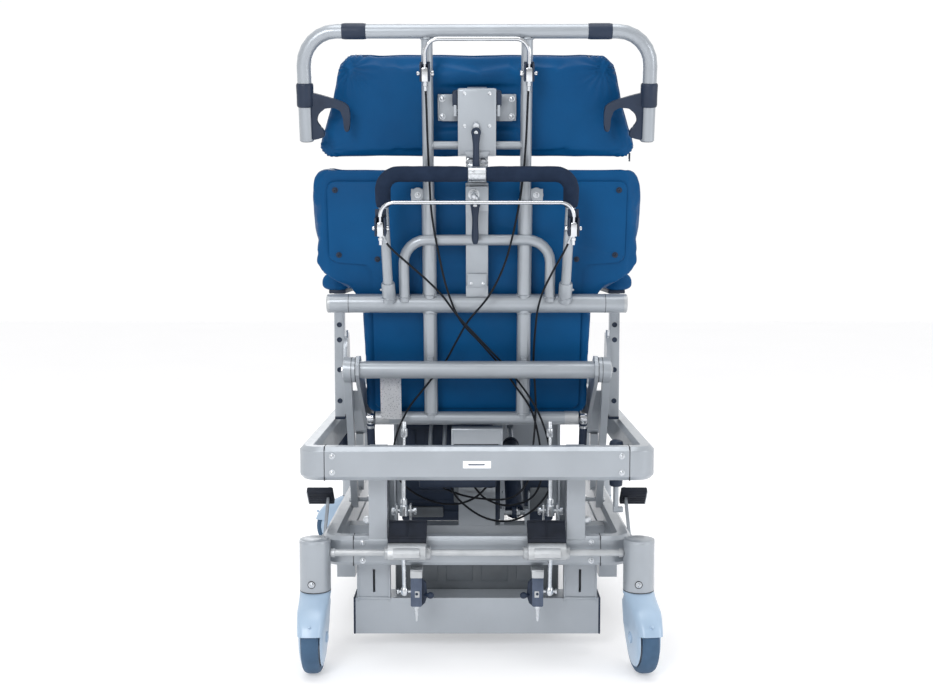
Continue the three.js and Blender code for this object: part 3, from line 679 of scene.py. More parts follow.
head_mesh = stuffed(outline_solid(head_outline, -98, HEAD_FACE, BACK), 0.012, under_wings, BACK, (0, 2))
for side in (1, -1):
    gather(head_mesh, (side * 276, 752), 78, 0.0035, 17)
    gather(head_mesh, (side * 330, 574), 46, 0.0022, 13)
ripple(head_mesh, 0.0016, 11)
cover("head_cushion", head_mesh, "head_pad")
piping("head_cushion_welt", head_mesh, [on_back(x, -74, z) for x, z in head_outline], "head_pad", 1.6)
back_piece("zip_pull", plastic, "head_pad", [
    box((-345, -74, 548), (-341, -70, 562), 1),
    tube([(-343, -72, 554), (-343.5, -71, 549), (-343, -70, 543)], [1.2, 1.6, 2.0], 8),
])

# Seat cushion, lying flat, and calf pad, standing; both fill their CAD boxes.
seat_low, seat_high = [Vector(c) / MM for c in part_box("seat_cushion")]
seat_ring = inset_ring(seat_low, seat_high, 0, 1, 32)
lay_flat = Matrix(((1, 0, 0, 0), (0, 0, 1, 0), (0, 1, 0, 0), (0, 0, 0, 1)))
seat_mesh = stuffed(
    outline_solid(seat_ring, seat_low.z + 1, seat_high.z - 10, lay_flat), 0.012,
    lambda co: co.z < (seat_low.z + 4) * MM, Matrix.Identity(4), (0, 1),
)
ripple(seat_mesh, 0.0014, 10, lambda co: co.z > seat_low.z * MM + 0.02)
cover("seat_cushion", seat_mesh, "seat")
piping("seat_cushion_welt", seat_mesh, [Vector((x, y, seat_high.z - 16)) for x, y in seat_ring], "seat")

calf_low, calf_high = [Vector(c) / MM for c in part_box("calf_pad")]
calf_ring = inset_ring(calf_low, calf_high, 0, 2, 26)
calf_mesh = stuffed(
    outline_solid(calf_ring, calf_low.y + 9, calf_high.y - 0.5, Matrix.Identity(4)), 0.010,
    lambda co: co.y > (calf_high.y - 4) * MM, Matrix.Identity(4), (0, 2),
)
ripple(calf_mesh, 0.0012, 12, lambda co: co.y < (calf_high.y - 14) * MM)
cover("calf_pad", calf_mesh, "leg")
piping("calf_pad_welt", calf_mesh, [Vector((x, calf_low.y + 14, z)) for x, z in calf_ring], "leg")


def signed_power(value, power):
    return math.copysign(abs(value) ** power, value)


# Armrest pads: a mushroom section, domed above and flat below, with rounded ends.
def armrest_pad(name, side):
    low, high = [Vector(c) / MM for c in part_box(f"armrest_pad_{name}")]
    section = []
    for k in range(28):
        a = 2 * math.pi * k / 28
        c, s = math.cos(a), math.sin(a)
        wide = 34 * signed_power(c, 0.8)
        tall = 25 * signed_power(s, 0.9) if s > 0 else 19 * signed_power(s, 0.7)
        section.append((wide, tall))
    length = high.y - low.y
    ends = [0, 2, 6, 12, 22, 36]
    stations = ends + [56 + 24 * k for k in range(8)] + [length - d for d in reversed(ends)]
    bm = bmesh.new()
    rings = []
    for d in stations:
        grow = max(0.12, (1 - (1 - min(1.0, min(d, length - d) / 20)) ** 2.4) ** 0.5)
        ring = []
        for wide, tall in section:
            sway = 1 + 0.02 * noise.noise(Vector((wide, tall, d)) * 0.03)
            x = side * 335 + wide * grow * sway * side
            z = 813 + tall * (0.35 + 0.65 * grow) * sway
            ring.append(bm.verts.new((x, low.y + d, z)))
        rings.append(ring)
    skin(bm, rings)
    bmesh.ops.subdivide_edges(bm, edges=bm.edges[:], cuts=1, use_grid_fill=True, smooth=0.5)
    piece = make(f"armrest_pad_{name}_cover", bm, vinyl, f"armrest_{name}", angle=180)
    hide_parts(f"armrest_pad_{name}")
    build(f"armrest_base_{name}", plastic, f"armrest_{name}", [
        box((312, low.y + 30, 787), (352, high.y - 10, 796), 2),
        screw((329, 150.5, 775), (0, 1, 0), 4.5),
    ], side=side)


for name, side in SIDES:
    armrest_pad(name, side)


# ---- back frame details ----
UPRIGHT_X = 107
CROSS_UP, CROSS_RADIUS = 231, 21
THIN_BAR_UP = 589
PUSH_BAR_UP, PUSH_BAR_X = 830, 371
HANDLE_BEHIND, HANDLE_UP = 68, 537

back_piece("push_bar_collars", plastic, "back", pairs=[
    tube([(236 + 51 * k / 8, 0, PUSH_BAR_UP) for k in range(9)], [16.0] + [16.9] * 7 + [16.0], 28),
])

# The bar hooks are curved mouldings: each corner of the outline is cut twice to soften it.
hook_outline = [
    (366, 704), (356, 702), (332, 696), (309, 689), (286, 681), (276, 672), (275, 655), (276, 627),
    (279, 619), (285, 618), (289, 624), (290, 644), (291, 660), (297, 668), (310, 670), (326, 669),
    (338, 665), (347, 655), (350, 642), (345, 632), (337, 627), (332, 621), (331, 611), (335, 606),
    (346, 603), (366, 599),
]
hook_soft = []
for (x, z), (next_x, next_z) in zip(hook_outline, hook_outline[1:] + hook_outline[:1]):
    for share in (0.22, 0.78):
        hook_soft.append((x + (next_x - x) * share, z + (next_z - z) * share))
hook_sleeve = {671: 16.2, 673: 18.0, 676: 18.6, 697: 18.2, 717: 18.6, 720: 18.0, 722: 16.2}
for name, side in SIDES:
    hook = back_piece(f"bar_hook_{name}_moulding", plastic, "back", [
        prism(hook_soft, -7, 14, 2.6, 3),
        tube([(PUSH_BAR_X, 0, z) for z in hook_sleeve], list(hook_sleeve.values()), 28),
        tube([(PUSH_BAR_X - 4, 0, z) for z in (602, 604, 674)], [11, 12.5, 12.5], 20),
    ], side=side, angle=32)
    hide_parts(f"bar_hook_{name}")
    back_piece(f"push_bar_plug_{name}", plastic, "back", [
        turned((PUSH_BAR_X, 0, 598), (0, 0, -1), [(0, -3), (13.5, -3), (13.5, 0.5), (12, 1.4), (0, 1.4)], 24),
    ], side=side)

back_piece("thin_cross_bar", paint, "back", [
    tube([(x, 0, THIN_BAR_UP) for x in (-100, 0, 100)], 9, 24),
])
back_piece("upper_tube_seams", dark, "back", pairs=[
    turned((291, 0, CROSS_UP), (1, 0, 0), [(21.2, -0.6), (21.7, -0.5), (21.7, 0.5), (21.2, 0.6)], 32),
])
back_piece("cross_tube_ends", cast, "back", pairs=[
    turned((337, 0, CROSS_UP), (1, 0, 0), [
        (0, -4), (21.6, -4), (21.6, 1.5), (19.6, 3.6), (8, 4.2), (0, 4.2),
    ], 32),
    turned((235, 0, -47), (1, 0, 0), [(0, -30), (15.6, -30), (15.6, 1), (14, 2.4), (0, 2.4)], 28),
])


def bead(centre, axis, ring_radius, thick=1.8):
    """Weld bead round a tube, slightly uneven."""
    def add(bm, side):
        along = Vector(axis).normalized()
        across = along.orthogonal().normalized()
        up = along.cross(across)
        points = []
        for k in range(29):
            a = 2 * math.pi * k / 28
            reach = ring_radius * (1 + 0.015 * math.sin(a * 9))
            points.append(Vector(mirrored(side, centre)) + (across * math.cos(a) + up * math.sin(a)) * reach)
        add_tube(bm, points, thick, 6)
    return add


back_piece("back_welds", paint, "back", pairs=[
    bead((UPRIGHT_X, 0, PUSH_BAR_UP - 15), (0, 0, 1), 13.2),
    bead((UPRIGHT_X, 0, CROSS_UP - CROSS_RADIUS), (0, 0, 1), 16.6),
    bead((UPRIGHT_X, 0, CROSS_UP + CROSS_RADIUS), (0, 0, 1), 16.6),
    bead((UPRIGHT_X, 0, -33), (0, 0, 1), 16.4),
    bead((164, 13, 250), (0, 0, 1), 12.6),
    bead((198.5, 21, 250), (0, 0.1, 1), 15.0),
    bead((UPRIGHT_X - 11, 0, THIN_BAR_UP), (1, 0, 0), 9.6, 1.4),
], angle=180)

# Push handle: sockets on the cross tube, foam grips and the centre sleeve.
back_piece("handle_sockets", paint, "back", pairs=[
    tube([(198, 18, 243), (198.4, 23, 262), (199, 30, 284), (199, 30.6, 287)], [15.2, 15.2, 15.2, 13.6], 28),
    screw((213, 27, 270), (1, 0.1, 0), 2.6),
])
sleeve = {-19: 14.2, -18: 16.2, -6: 16.2, 6: 16.2, 18: 16.2, 19: 14.2}
back_piece("handle_centre_sleeve", zinc, "back", [
    tube([(x, HANDLE_BEHIND, HANDLE_UP) for x in sleeve], list(sleeve.values()), 28),
    box((-16, 20, 520), (16, 56, 549), 3),
    box((-19, -1, 512), (19, 24, 552), 2),
])
grip_corner = (203.2, HANDLE_BEHIND, HANDLE_UP)
grip_path = densified(rounded([(203.2, 60, 466), grip_corner, (19.5, HANDLE_BEHIND, HANDLE_UP)], 36, 14), 9)
grip_radii = []
for k in range(len(grip_path)):
    end = min(k, len(grip_path) - 1 - k)
    grip_radii.append(16.8 * (0.86, 0.96, 1.0)[min(end, 2)] * (1 + 0.012 * math.sin(k * 1.7)))
for name, side in SIDES:
    grip_tube = tube(grip_path, grip_radii, 28)
    grip = back_piece(f"handle_grip_{name}_foam", foam, "back", [grip_tube], side=side, angle=60)
    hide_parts(f"handle_grip_{name}")

# Stem guide fittings: plate with rivets, stud with its nut, cushion lug screws.
back_piece("stem_bracket", paint, "back", [
    box((-22, 12, 272), (22, 16, 304), 1.2),
    box((-25, 11.5, 250), (25, 14.5, 276), 1),
    box((-24.6, -1, 300), (24.6, 12.2, 446), 0.8),
])
threads = [(0, 9)]
for k in range(9):
    threads += [(4.6, 9.4 + 1.8 * k), (5.3, 10.3 + 1.8 * k)]
threads += [(4.4, 27), (0, 27.4)]
stud_nut = [(0, 0), (12.5, 0), (12.5, 2.5), (11.5, 3), (9, 3.2), (9, 9), (8, 10), (5, 10), (0, 10)]
back_piece("stem_fasteners", zinc, "back", [
    turned((7, 11, 483), (0, 1, 0), stud_nut, 24),
    turned((7, 11, 483), (0, 1, 0), threads, 18),
], [
    turned((13, 15.5, 281), (0, 1, 0), [(0, -1), (4, -1), (4, 0.6), (2.8, 1.8), (0, 2.2)], 18),
    screw((131, -2, 479), (0, 1, 0), 5),
])
back_piece("cushion_lugs", paint, "back", pairs=[
    turned((131, -6, 479), (0, 1, 0), [(0, -2), (16, -2), (16, 3.2), (15, 4.2), (0, 4.2)], 26),
])

# ---- head support details ----
plate_rivet = [(0, -1), (4.6, -1), (4.6, 0.5), (3.4, 1.6), (2.2, 1.2), (0, 1.0)]
back_piece("head_plate_rivets", zinc, "head_carrier", pairs=[
    turned((27, 25.5, z), (0, 1, 0), plate_rivet, 18) for z in (703, 634)
])
back_piece("head_plate_cover", paint, "head_carrier", [
    box((-41.2, 10, 568), (41.2, 26.4, 713), 5, 3),
    box((-24, -2, 540), (24, 14, 568), 1.5),
    prism([(-28, 580), (28, 580), (22, 566), (-22, 566)], 25, 6),
])
plate_bolt = [(0, -1), (10.5, -1), (10.5, 1.6), (8.4, 2.4), (8.4, 6), (6.5, 8), (0, 8.4)]
back_piece("head_plate_bolts", zinc, "head_carrier", pairs=[turned((14, 13, 554), (0, 1, 0), plate_bolt, 22)])
wing = rounded_ring([(42, 637), (42, 695), (86, 695), (86, 637)], [2, 2, 9, 9])
back_piece("head_wings", paint, "head_pad", pairs=[prism(wing, -39, 3.5, 1)])
knuckle = rounded_ring([(41, 709), (53, 706), (53, 674), (41, 674)], [3, 5, 3, 1])
back_piece("head_knuckles", plastic, "head_carrier", pairs=[prism(knuckle, -4, 24, 2)])
back_piece("wing_bolts", zinc, "head_pad", pairs=[screw((76, -35.5, z), (0, 1, 0), 4.8) for z in (647, 685)])


def clamp_lever(name, x, up, near, far):
    """A ribbed hub with a screw and a tapered handle hanging from it."""
    height = far - near
    handle = []
    for k in range(13):
        share = k / 12
        handle.append((x, far - 6 + 9 * math.sin(share * 1.9), up - 4 - 80 * share))
    lever = back_piece(f"{name}_handle", plastic, name, [
        turned((x, near, up), (0, 1, 0), [
            (0, 0), (8.5, 0), (8.5, height - 14), (10.5, height - 11), (10.5, height - 2), (9, height),
            (5.5, height), (5, height - 3), (0, height - 3),
        ], 24),
        tube(handle, [9.4, 8.8, 7.8, 7.0, 6.7, 6.7, 6.9, 7.2, 7.6, 7.9, 7.9, 7.2, 4.6], 16),
    ], angle=50)
    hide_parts(name)
    screw_head = [(0, 0), (4.4, 0), (4.4, 3.2), (3.8, 3.8), (2.2, 3.8), (2.0, 1.5), (0, 1.5)]
    back_piece(f"{name}_screw", zinc, name, [
        turned((x, far - 3.4, up), (0, 1, 0), screw_head, 18),
        turned((x, near + 2, up + 13), (0, 1, 0), [(0, 0), (7.5, 0), (7.5, 9), (6, 11), (0, 11)], 20),
    ])


clamp_lever("clamp_lever_upper", 2, 622, 26.4, 48)
clamp_lever("clamp_lever_lower", 4, 463, 16.4, 42)

# ---- bail levers and their clevises ----
BAILS = (("upper", 111, 24, 740, 816, 757), ("lower", 208, 94, 420, 480, 438))
for name, x, behind, low, high, hub_top in BAILS:
    path = rounded([(x, behind, low), (x, behind, high), (-x, behind, high), (-x, behind, low)], 30, 10)
    rod = back_piece(
        f"bail_lever_{name}_rod", chrome, f"bail_lever_{name}", [tube(densified(path, 12), 4.3, 14)],
        [box((x - 7, behind - 7, low - 7), (x + 7, behind + 7, hub_top), 2.2)], angle=50,
    )
    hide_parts(f"bail_lever_{name}")

back_piece("bail_brackets", plastic, "back", pairs=[
    box((100, 10, 728), (104, 34, 764), 1.2),
    box((118, 10, 728), (122, 34, 764), 1.2),
    box((100, 10, 728), (122, 15, 768), 1.2),
    box((196, 72, 408), (200, 104, 448), 1.2),
    box((216, 72, 408), (220, 104, 448), 1.2),
    box((196, 70, 408), (220, 76, 462), 1.2),
])
bail_pin = [
    (0, 0), (5.6, 0), (6.4, 1.5), (6.4, 5), (5.4, 6), (2.6, 6.2), (2.6, 32), (5, 32.2), (5, 35),
    (3.6, 36.4), (0, 36.4),
]
cable_end = [(0, -4), (3.4, -4), (3.4, 2), (5.4, 2.4), (5.4, 8), (3.8, 9), (3.8, 18), (0, 18)]
bail_pins = []
for x, behind, z in ((111, 24, 744), (208, 94, 424)):
    bail_pins += [
        turned((x - 19, behind, z), (1, 0, 0), bail_pin, 18),
        turned((x, behind, z - 18), (0, 0, -1), cable_end, 16),
        box((x - 6.5, behind + 7.5, z - 16), (x + 6.5, behind + 10.5, z + 12), 1),
    ]
back_piece("bail_pins", chrome, "back", pairs=bail_pins)

# ---- hanging care tag ----
TAG_WIDTH, TAG_DROP = 48, 99
columns, rows = 9, 17
bm = bmesh.new()
grid = []
for j in range(rows):
    drop = TAG_DROP * j / (rows - 1)
    row = []
    for i in range(columns):
        sway = 1.4 * math.sin(i * 0.8 + j * 0.35) * j / rows
        row.append(bm.verts.new((
            175 + TAG_WIDTH * i / (columns - 1), 19.5 + 5.5 * math.sin(drop / 60) + sway, 58 - drop,
        )))
    grid.append(row)
for upper, lower in zip(grid, grid[1:]):
    for i in range(columns - 1):
        bm.faces.new((upper[i], upper[i + 1], lower[i + 1], lower[i]))
bmesh.ops.solidify(bm, geom=bm.faces[:], thickness=0.5)
tag = make("care_tag", bm, tag_paper, "back", BACK, angle=60)

# ---- hip tube and armrest posts ----
HIP_Y, HIP_Z = 296.184, 618.602
hip_cap = [(0, -1), (20, -1), (20, 2), (18.5, 3), (12, 3), (12, 1.5), (0, 1.5)]
hip_seam = [(28.6, -0.5), (29.3, -0.4), (29.3, 0.7), (28.6, 0.8)]
build("hip_bolts", zinc, "seat", pairs=[
    turned((301.5, HIP_Y, HIP_Z), (1, 0, 0), hip_cap, 32),
    hexagon((303, HIP_Y, HIP_Z), (1, 0, 0), 8, 5),
    hexagon((302, 155, 290), (1, 0, 0), 6, 5),
])
build("hip_seams", dark, "seat", pairs=[
    turned((x, HIP_Y, HIP_Z), (1, 0, 0), hip_seam, 36) for x in (275, 284)
])
grommet = [(0, -2), (6.2, -2), (6.2, 0.7), (5.2, 1.0), (4.4, 0.6), (0, 0.2)]
catch_path = [(316, 152, 650), (313, 158, 610), (310, 160, 560), (307, 157, 520), (306, 150, 505)]
for name, side in SIDES:
    build(f"post_grommets_{name}", plastic, f"armrest_{name}", [
        *[turned((329, 150, z), (0, 1, 0), grommet, 20) for z in (529, 604, 676, 712)],
        box((316.5, 125.5, 484), (341.5, 150.5, 492), 2),
    ], side=side)
    build(f"armrest_catch_{name}", zinc, "seat", [
        tube(densified(catch_path, 8), 3.2, 10),
        turned((312, 155, 700), (0, 0, -1), [(0, 0), (5, 0), (5, 14), (3.4, 16), (3.4, 48), (0, 48)], 16),
    ], side=side)

# ---- chassis details ----
HOUSINGS = ((345, 500), (-345, 500), (365, -500), (-365, -500))
build("ring_screws", zinc, "chassis", pairs=[screw((300, 560, z), (0, 1, 0), 4.4) for z in (431, 465)])
build("lower_bar_screws", zinc, "chassis", pairs=[screw((246, 474, z), (0, 1, 0), 4.4) for z in (223, 263)])
HOUSING_SCREWS = (349, -341)
build("housing_screws", zinc, "chassis", [screw((x, 532.5, 186), (0, 1, 0), 5) for x in HOUSING_SCREWS])
cap = [(0, -9), (32.9, -9), (33.3, -7), (33.1, -4), (31.6, -1), (28.5, 1.2), (23, 2.6), (12, 3.4), (0, 3.6)]
build("housing_caps", paint, "chassis", [turned((x, y, 277), (0, 0, 1), cap, 44) for x, y in HOUSINGS])
screw_rim = [(5.2, 0), (8.2, 0), (8.2, 1.2), (7.4, 1.7), (5.2, 1.2)]
stem_gap = [(30, 0.2), (33.1, 0.4), (33.1, 1.7), (30, 1.9)]
build("housing_gaps", dark, "chassis", [
    *[turned((x, 532.2, 186), (0, 1, 0), screw_rim, 28) for x in HOUSING_SCREWS],
    *[turned((x, y, 166.4), (0, 0, 1), stem_gap, 44) for x, y in HOUSINGS],
])
build("casting_seams", dark, "chassis", pairs=[
    box((316.05, 521.5, 412.6), (316.9, 560.5, 484.4), 0.3, 1),
    box((266.05, 435.5, 210.6), (266.9, 474.5, 275.4), 0.3, 1),
])
# The ring label glows a little: painted light.
build("ring_label", paper, "chassis", [box((-29, 559.6, 440), (29, 560.6, 455), 0.4)])
build("ring_label_bar", anodised, "chassis", [box((-16, 560.4, 446), (18, 560.8, 449), 0.15, 1)])

# Column head: a folded channel over a rubber strip.
build("column_gasket", dark, "chassis", [
    box((-50, 195, 434), (50, 246, 441)),
], [box((43.2, 194, 420), (47, 246, 436), 1)])
build("column_channel", paint, "chassis", [
    box((-60, 195, 470), (60, 249, 476), 2),
], [box((54, 195, 430), (60, 249, 474))])

# Seat rests: channel posts standing on the cross member.
REST_FOOT, REST_TOP = 244, 405
build("seat_rests", paint, "chassis", pairs=[
    box((190, 205, REST_FOOT), (194, 238, REST_TOP), 1.2),
    box((212, 205, REST_FOOT), (216, 238, REST_TOP), 1.2),
    box((190, 205, REST_FOOT), (216, 209, REST_TOP), 1.2),
    box((188, 203, REST_TOP - 5), (218, 240, REST_TOP + 3), 2),
])

# Lift cylinder: side plates on the frame, rings and a gland on the barrel, a bolt through its foot.
build("cylinder_plates", paint, "chassis", [
    box((x, 206, 240), (x + 3.5, 234, 322), 1.4) for x in (-124, -62)
])
LIFT_FOOT = Vector((-88, 220, 272))
LIFT_AXIS = Vector((0, -0.943157, 0.332347))
barrel_ring = [(19.5, -5), (21.4, -4), (21.4, 5), (19.5, 6)]
gland = [(10.0, -1), (18, -1), (18, 5), (15.5, 7), (10.0, 7)]
build("lift_barrel_rings", plastic, "lift_barrel", [
    turned(LIFT_FOOT + LIFT_AXIS * 14, LIFT_AXIS, barrel_ring, 32),
    turned(LIFT_FOOT + LIFT_AXIS * 330, LIFT_AXIS, barrel_ring, 32),
    turned(LIFT_FOOT + LIFT_AXIS * 338, LIFT_AXIS, gland, 28),
])
build("lift_foot_bolt", zinc, "lift_barrel", [hexagon((-94.5, 220, 272), (-1, 0, 0), 9, 6)])
SPRING_FOOT = Vector((250, 155, 290))
SPRING_AXIS = Vector((0, 0.302445, 0.953167))
spring_ring = [(9.2, -3), (10.5, -2), (10.5, 3), (9.2, 4)]
spring_gland = [(5.2, -1), (8.6, -1), (8.6, 2), (7.2, 3.4), (5.2, 3.4)]
for name, side in SIDES:
    build(f"spring_rings_{name}", zinc, f"spring_barrel_{name}", [
        turned(SPRING_FOOT + SPRING_AXIS * 12, SPRING_AXIS, spring_ring, 24),
        turned(SPRING_FOOT + SPRING_AXIS * 196, SPRING_AXIS, spring_ring, 24),
        turned(SPRING_FOOT + SPRING_AXIS * 204, SPRING_AXIS, spring_gland, 22),
    ], side=side)

# Pump unit, batteries and control box. The pump cover and the battery sockets wear the darker paint that
# paints in the shade under the seat.
build("pump_cover", shade, "chassis", [
    box((-186, 262, 98), (186, 330, 202), 5, 3),
    *[box((x - 30, 327, 138), (x + 30, 332, 190)) for x in (-120, -40, 40, 120)],
])
build("pump_gasket", dark, "chassis", [box((-184, 258, 198), (184, 326, 212), 3)])
build("battery_case", plastic, "chassis", [
    box((-58, -70, 214), (188, 56, 372), 7, 3),
    box((-190, -70, 214), (-118, 56, 372), 7, 3),
    *[box((-46, 53, z), (176, 58.5, z + 5), 1.2) for z in (236, 262, 288, 314, 340)],
])
build("battery_sockets", shade, "chassis", [
    box((6, 54, 262), (58, 62, 330), 3),
    box((84, 54, 226), (170, 66, 252), 3),
    box((-176, 54, 240), (-132, 62, 300), 3),
])
build("control_box", plastic, "seat", [
    box((-40, -130, 392), (186, 84, 465), 8, 3),
    *[box((x - 4, 80, 402), (x + 14, 87, 450)) for x in (-20, 24, 68, 112, 156)],
])

# Cable junction block behind the column, on a strip from the seat pan.
build("cable_junction", plastic, "seat", [
    box((-44, 256, 350), (132, 316, 386), 5, 3),
    *[turned((x, y, 351), (0, 0, -1), [(0, -2), (8, -2), (8, 3), (6, 5), (0, 5)], 18)
      for x, y in ((14, 266), (-30, 290), (66, 302), (116, 272))],
])
strips = []
for x in (78, 112):
    strip = rounded([(x, 96, 462), (x, 126, 452), (x, 262, 374), (x, 290, 371)], 22, 5)
    strips.append(tube(densified(strip, 20), 5, 12))
build("junction_strip", paint, "seat", strips)

# Ballast beam: end caps, the edges of its hanger plates, and dark plates behind their slots that paint in the
# shade seen through them.
build("beam_end_caps", plastic, "chassis", pairs=[box((269.5, 331, 38), (274.5, 403, 121.5), 2)])
build("hanger_edges", paint, "chassis", pairs=[
    box((192, 385, 112), (197, 404.5, 206), 1),
    box((262, 385, 112), (266, 404.5, 206), 1),
    box((192, 385, 117), (266, 405.5, 122.5), 1),
])
build("hanger_slot_shade", shade, "chassis", pairs=[box((220, 378, 126), (238, 385.4, 192), 1)])

# Brake linkage: clevis yokes above the pedals with their rods.
YOKE_X, YOKE_Y, YOKE_Z = 161, 408, 317
yoke_pin = [(0, 0), (8, 0), (8.4, 1), (8.4, 6), (4.4, 6.4), (4.4, 48), (9, 48.4), (9, 53), (7, 55), (0, 55)]
yoke_head = [(0, -10), (10, -10), (10, 12), (7.5, 14), (7.5, 26), (4.5, 29), (4.5, 70), (0, 70)]
rod_end = [(0, -12), (6, -12), (7.5, -9), (7.5, 6), (5, 9), (5, 22), (0, 22)]
build("brake_yokes", zinc, "chassis", [
    turned((x - 28, YOKE_Y, YOKE_Z), (1, 0, 0), yoke_pin, 22) for x in (YOKE_X, -YOKE_X)
], [
    box((YOKE_X - 12, 398, YOKE_Z - 76), (YOKE_X + 12, 434, YOKE_Z - 46), 3),
    box((YOKE_X - 17, 396, YOKE_Z - 48), (YOKE_X - 13, 420, YOKE_Z + 16), 1.2),
    box((YOKE_X + 13, 396, YOKE_Z - 48), (YOKE_X + 17, 420, YOKE_Z + 16), 1.2),
    box((YOKE_X - 17, 396, YOKE_Z - 50), (YOKE_X + 17, 420, YOKE_Z - 43)),
    turned((YOKE_X, YOKE_Y, YOKE_Z), (0, 0, 1), yoke_head, 20),
    tube([(YOKE_X, YOKE_Y, YOKE_Z + 50), (YOKE_X, 402, YOKE_Z + 100), (YOKE_X, 388, 486)], 3.6, 10),
    turned((YOKE_X, 387, 490), (0, -0.2, 1), rod_end, 18),
])
for name, side in SIDES:
    build(f"post_foot_{name}", zinc, "chassis", [
        box((188, 414, 274), (236, 434, 286), 2),
        hexagon((241, 420, 300), (0, 1, 0), 6, 4),
    ], side=side)

# Latches under the rear bar: rods from the pedals, anodised blocks, ball levers and plungers.
rod_ball = [(0, -3), (5, -2), (8, 3), (8.4, 8), (8, 13), (5, 17), (0, 18)]
cross_pin = [(0, -3), (5.5, -3), (5.5, 0), (3, 0.4), (3, 34), (0, 34)]
plunger = [(0, -2), (7.4, -2), (7.4, 4), (5.4, 7), (3.4, 26), (2, 34), (0, 35)]
lever_ball = [(0, -1), (4, 0), (6.8, 4), (7.2, 8), (6, 12), (3, 14.4), (0, 15)]
build("latch_rods", zinc, "chassis", pairs=[
    tube([(157, 500, 238), (156, 494, 206), (155.5, 489, 160)], 4.4, 14),
    turned((155.5, 489, 168), (0, 0, -1), rod_ball, 20),
    turned((168, 489, 160), (-1, 0, 0), cross_pin, 16),
    turned((130, 487, 128), (0, 0, -1), plunger, 18),
])
latch_block = rounded_ring([(118, 198), (142, 198), (142, 128), (118, 128)], 2.5)
build("latch_blocks", anodised, "chassis", pairs=[prism(latch_block, 478, 18)])
build("latch_hangers", cast, "chassis", pairs=[
    prism([(117, 208), (143, 208), (143, 198), (117, 198)], 458, 38),
    box((117, 492, 190), (143, 498, 206), 2),
    box((123, 494.5, 148), (133, 497, 162), 1),
])
latch_lever = [(119, 186), (110, 176), (107, 148), (112, 132), (121, 124), (124, 124), (124, 186)]
build("latch_levers", plastic, "chassis", pairs=[
    prism(latch_lever, 472, 10, 1),
    tube([(112, 480, 150), (104, 487, 151)], 3.2, 10),
    turned((107, 488, 151), (-1, 0.2, 0), lever_ball, 18),
    turned((129, 495.6, 156), (0, 1, 0), [(0, -1), (3.2, -1), (3.2, 1.6), (0, 1.6)], 12),
])


# Brake pedals: a rubber pad over a cast lip, on a hub round the axle.
def crowned(middle, section, half_width, bevel, crown):
    """Section of (y, z) pairs drawn across X, swollen in the middle, with its rims rounded."""
    def add(bm, side):
        part = bmesh.new()
        rings = []
        for k in range(11):
            share = -1 + k / 5
            swell = crown * (1 - share ** 2)
            x = middle + half_width * share
            rings.append([part.verts.new((x, y + swell * 0.8, z + swell * 0.5)) for y, z in section])
        skin(part, rings)
        rims = [e for e in part.edges if len(e.link_faces) == 2 and e.calc_face_angle(0) > 1.0]
        bmesh.ops.bevel(part, geom=rims, offset=bevel, segments=3, affect="EDGES", profile=0.5)
        absorb(bm, part)
    return add


PEDAL_MIDDLE, PEDAL_HALF = 147.5, 40.5
AXLE = (500, 247)
pad_section = [
    (466, 302), (469, 310), (479, 312), (488, 308), (527, 284), (532, 278), (527, 272), (519, 275),
    (478, 297),
]
lip_section = [
    (486, 262), (500, 274), (522, 277), (540, 272), (549, 262), (551, 252), (546, 244), (528, 238),
    (500, 238), (488, 246),
]
toe_section = [(549, 246), (556, 250), (557, 258), (552, 264), (544, 268), (540, 250)]
for name, side in SIDES:
    middle = side * PEDAL_MIDDLE
    near, far = middle - PEDAL_HALF, middle + PEDAL_HALF
    pad = build(f"brake_pedal_pad_{name}", rubber, "brake_pedals", [
        crowned(middle, pad_section, PEDAL_HALF, 2.2, 1.5),
        *[tube([(near + 3, y, z - 1), (middle, y + 0.9, z), (far - 3, y, z - 1)], 1.6, 8)
          for y, z in ((484, 312.2), (526, 286.4))],
        tube([(middle, 485, 312.4), (middle, 506, 299.6), (middle, 526, 287)], 1.3, 8),
    ])
    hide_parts(f"rear_pedal_{name}")
    hub = [(8.2, 0), (12.5, 0), (14, 1.5), (14, 97.5), (12.5, 99), (8.2, 99)]
    build(f"brake_pedal_lip_{name}", cast, "brake_pedals", [
        crowned(middle, lip_section, PEDAL_HALF - 1, 3.4, 1.2),
        turned((near - 9, *AXLE), (1, 0, 0), hub, 30),
        crowned(middle, toe_section, PEDAL_HALF - 13, 2.4, 1),
        *[box((middle + x - 4, 485, 262), (middle + x + 4, 506, 286), 2) for x in (-26, 26)],
    ])
build("brake_axle_collars", cast, "brake_pedals", pairs=[
    turned((305, *AXLE), (1, 0, 0), [(0, -2), (9.5, -2), (9.5, 5), (8, 7), (0, 7)], 26),
])

# Side pedals: ribbed rubber on the tread and a hub screw.
for name, side in SIDES:
    slope = Matrix.Translation((side * 350, 253.5, 303.5)) @ Matrix.Rotation(math.atan2(34, 36), 4, "X")
    build(f"side_pedal_tread_{name}", rubber, f"side_pedal_{name}", [
        box((-18, -1, -4.6), (42, 51, 10.5), 3, 3),
        *[box((-15, 4 + 9 * k, 9.6), (39, 9 + 9 * k, 12.2), 1) for k in range(5)],
        *[box((-15, 4 + 9 * k, -6), (39, 9 + 9 * k, -3.6), 1) for k in range(5)],
    ], side=side, place=slope)
    build(f"side_pedal_screw_{name}", zinc, f"side_pedal_{name}", [
        screw((347, 360, 243), (1, 0, 0), 7),
    ], side=side)

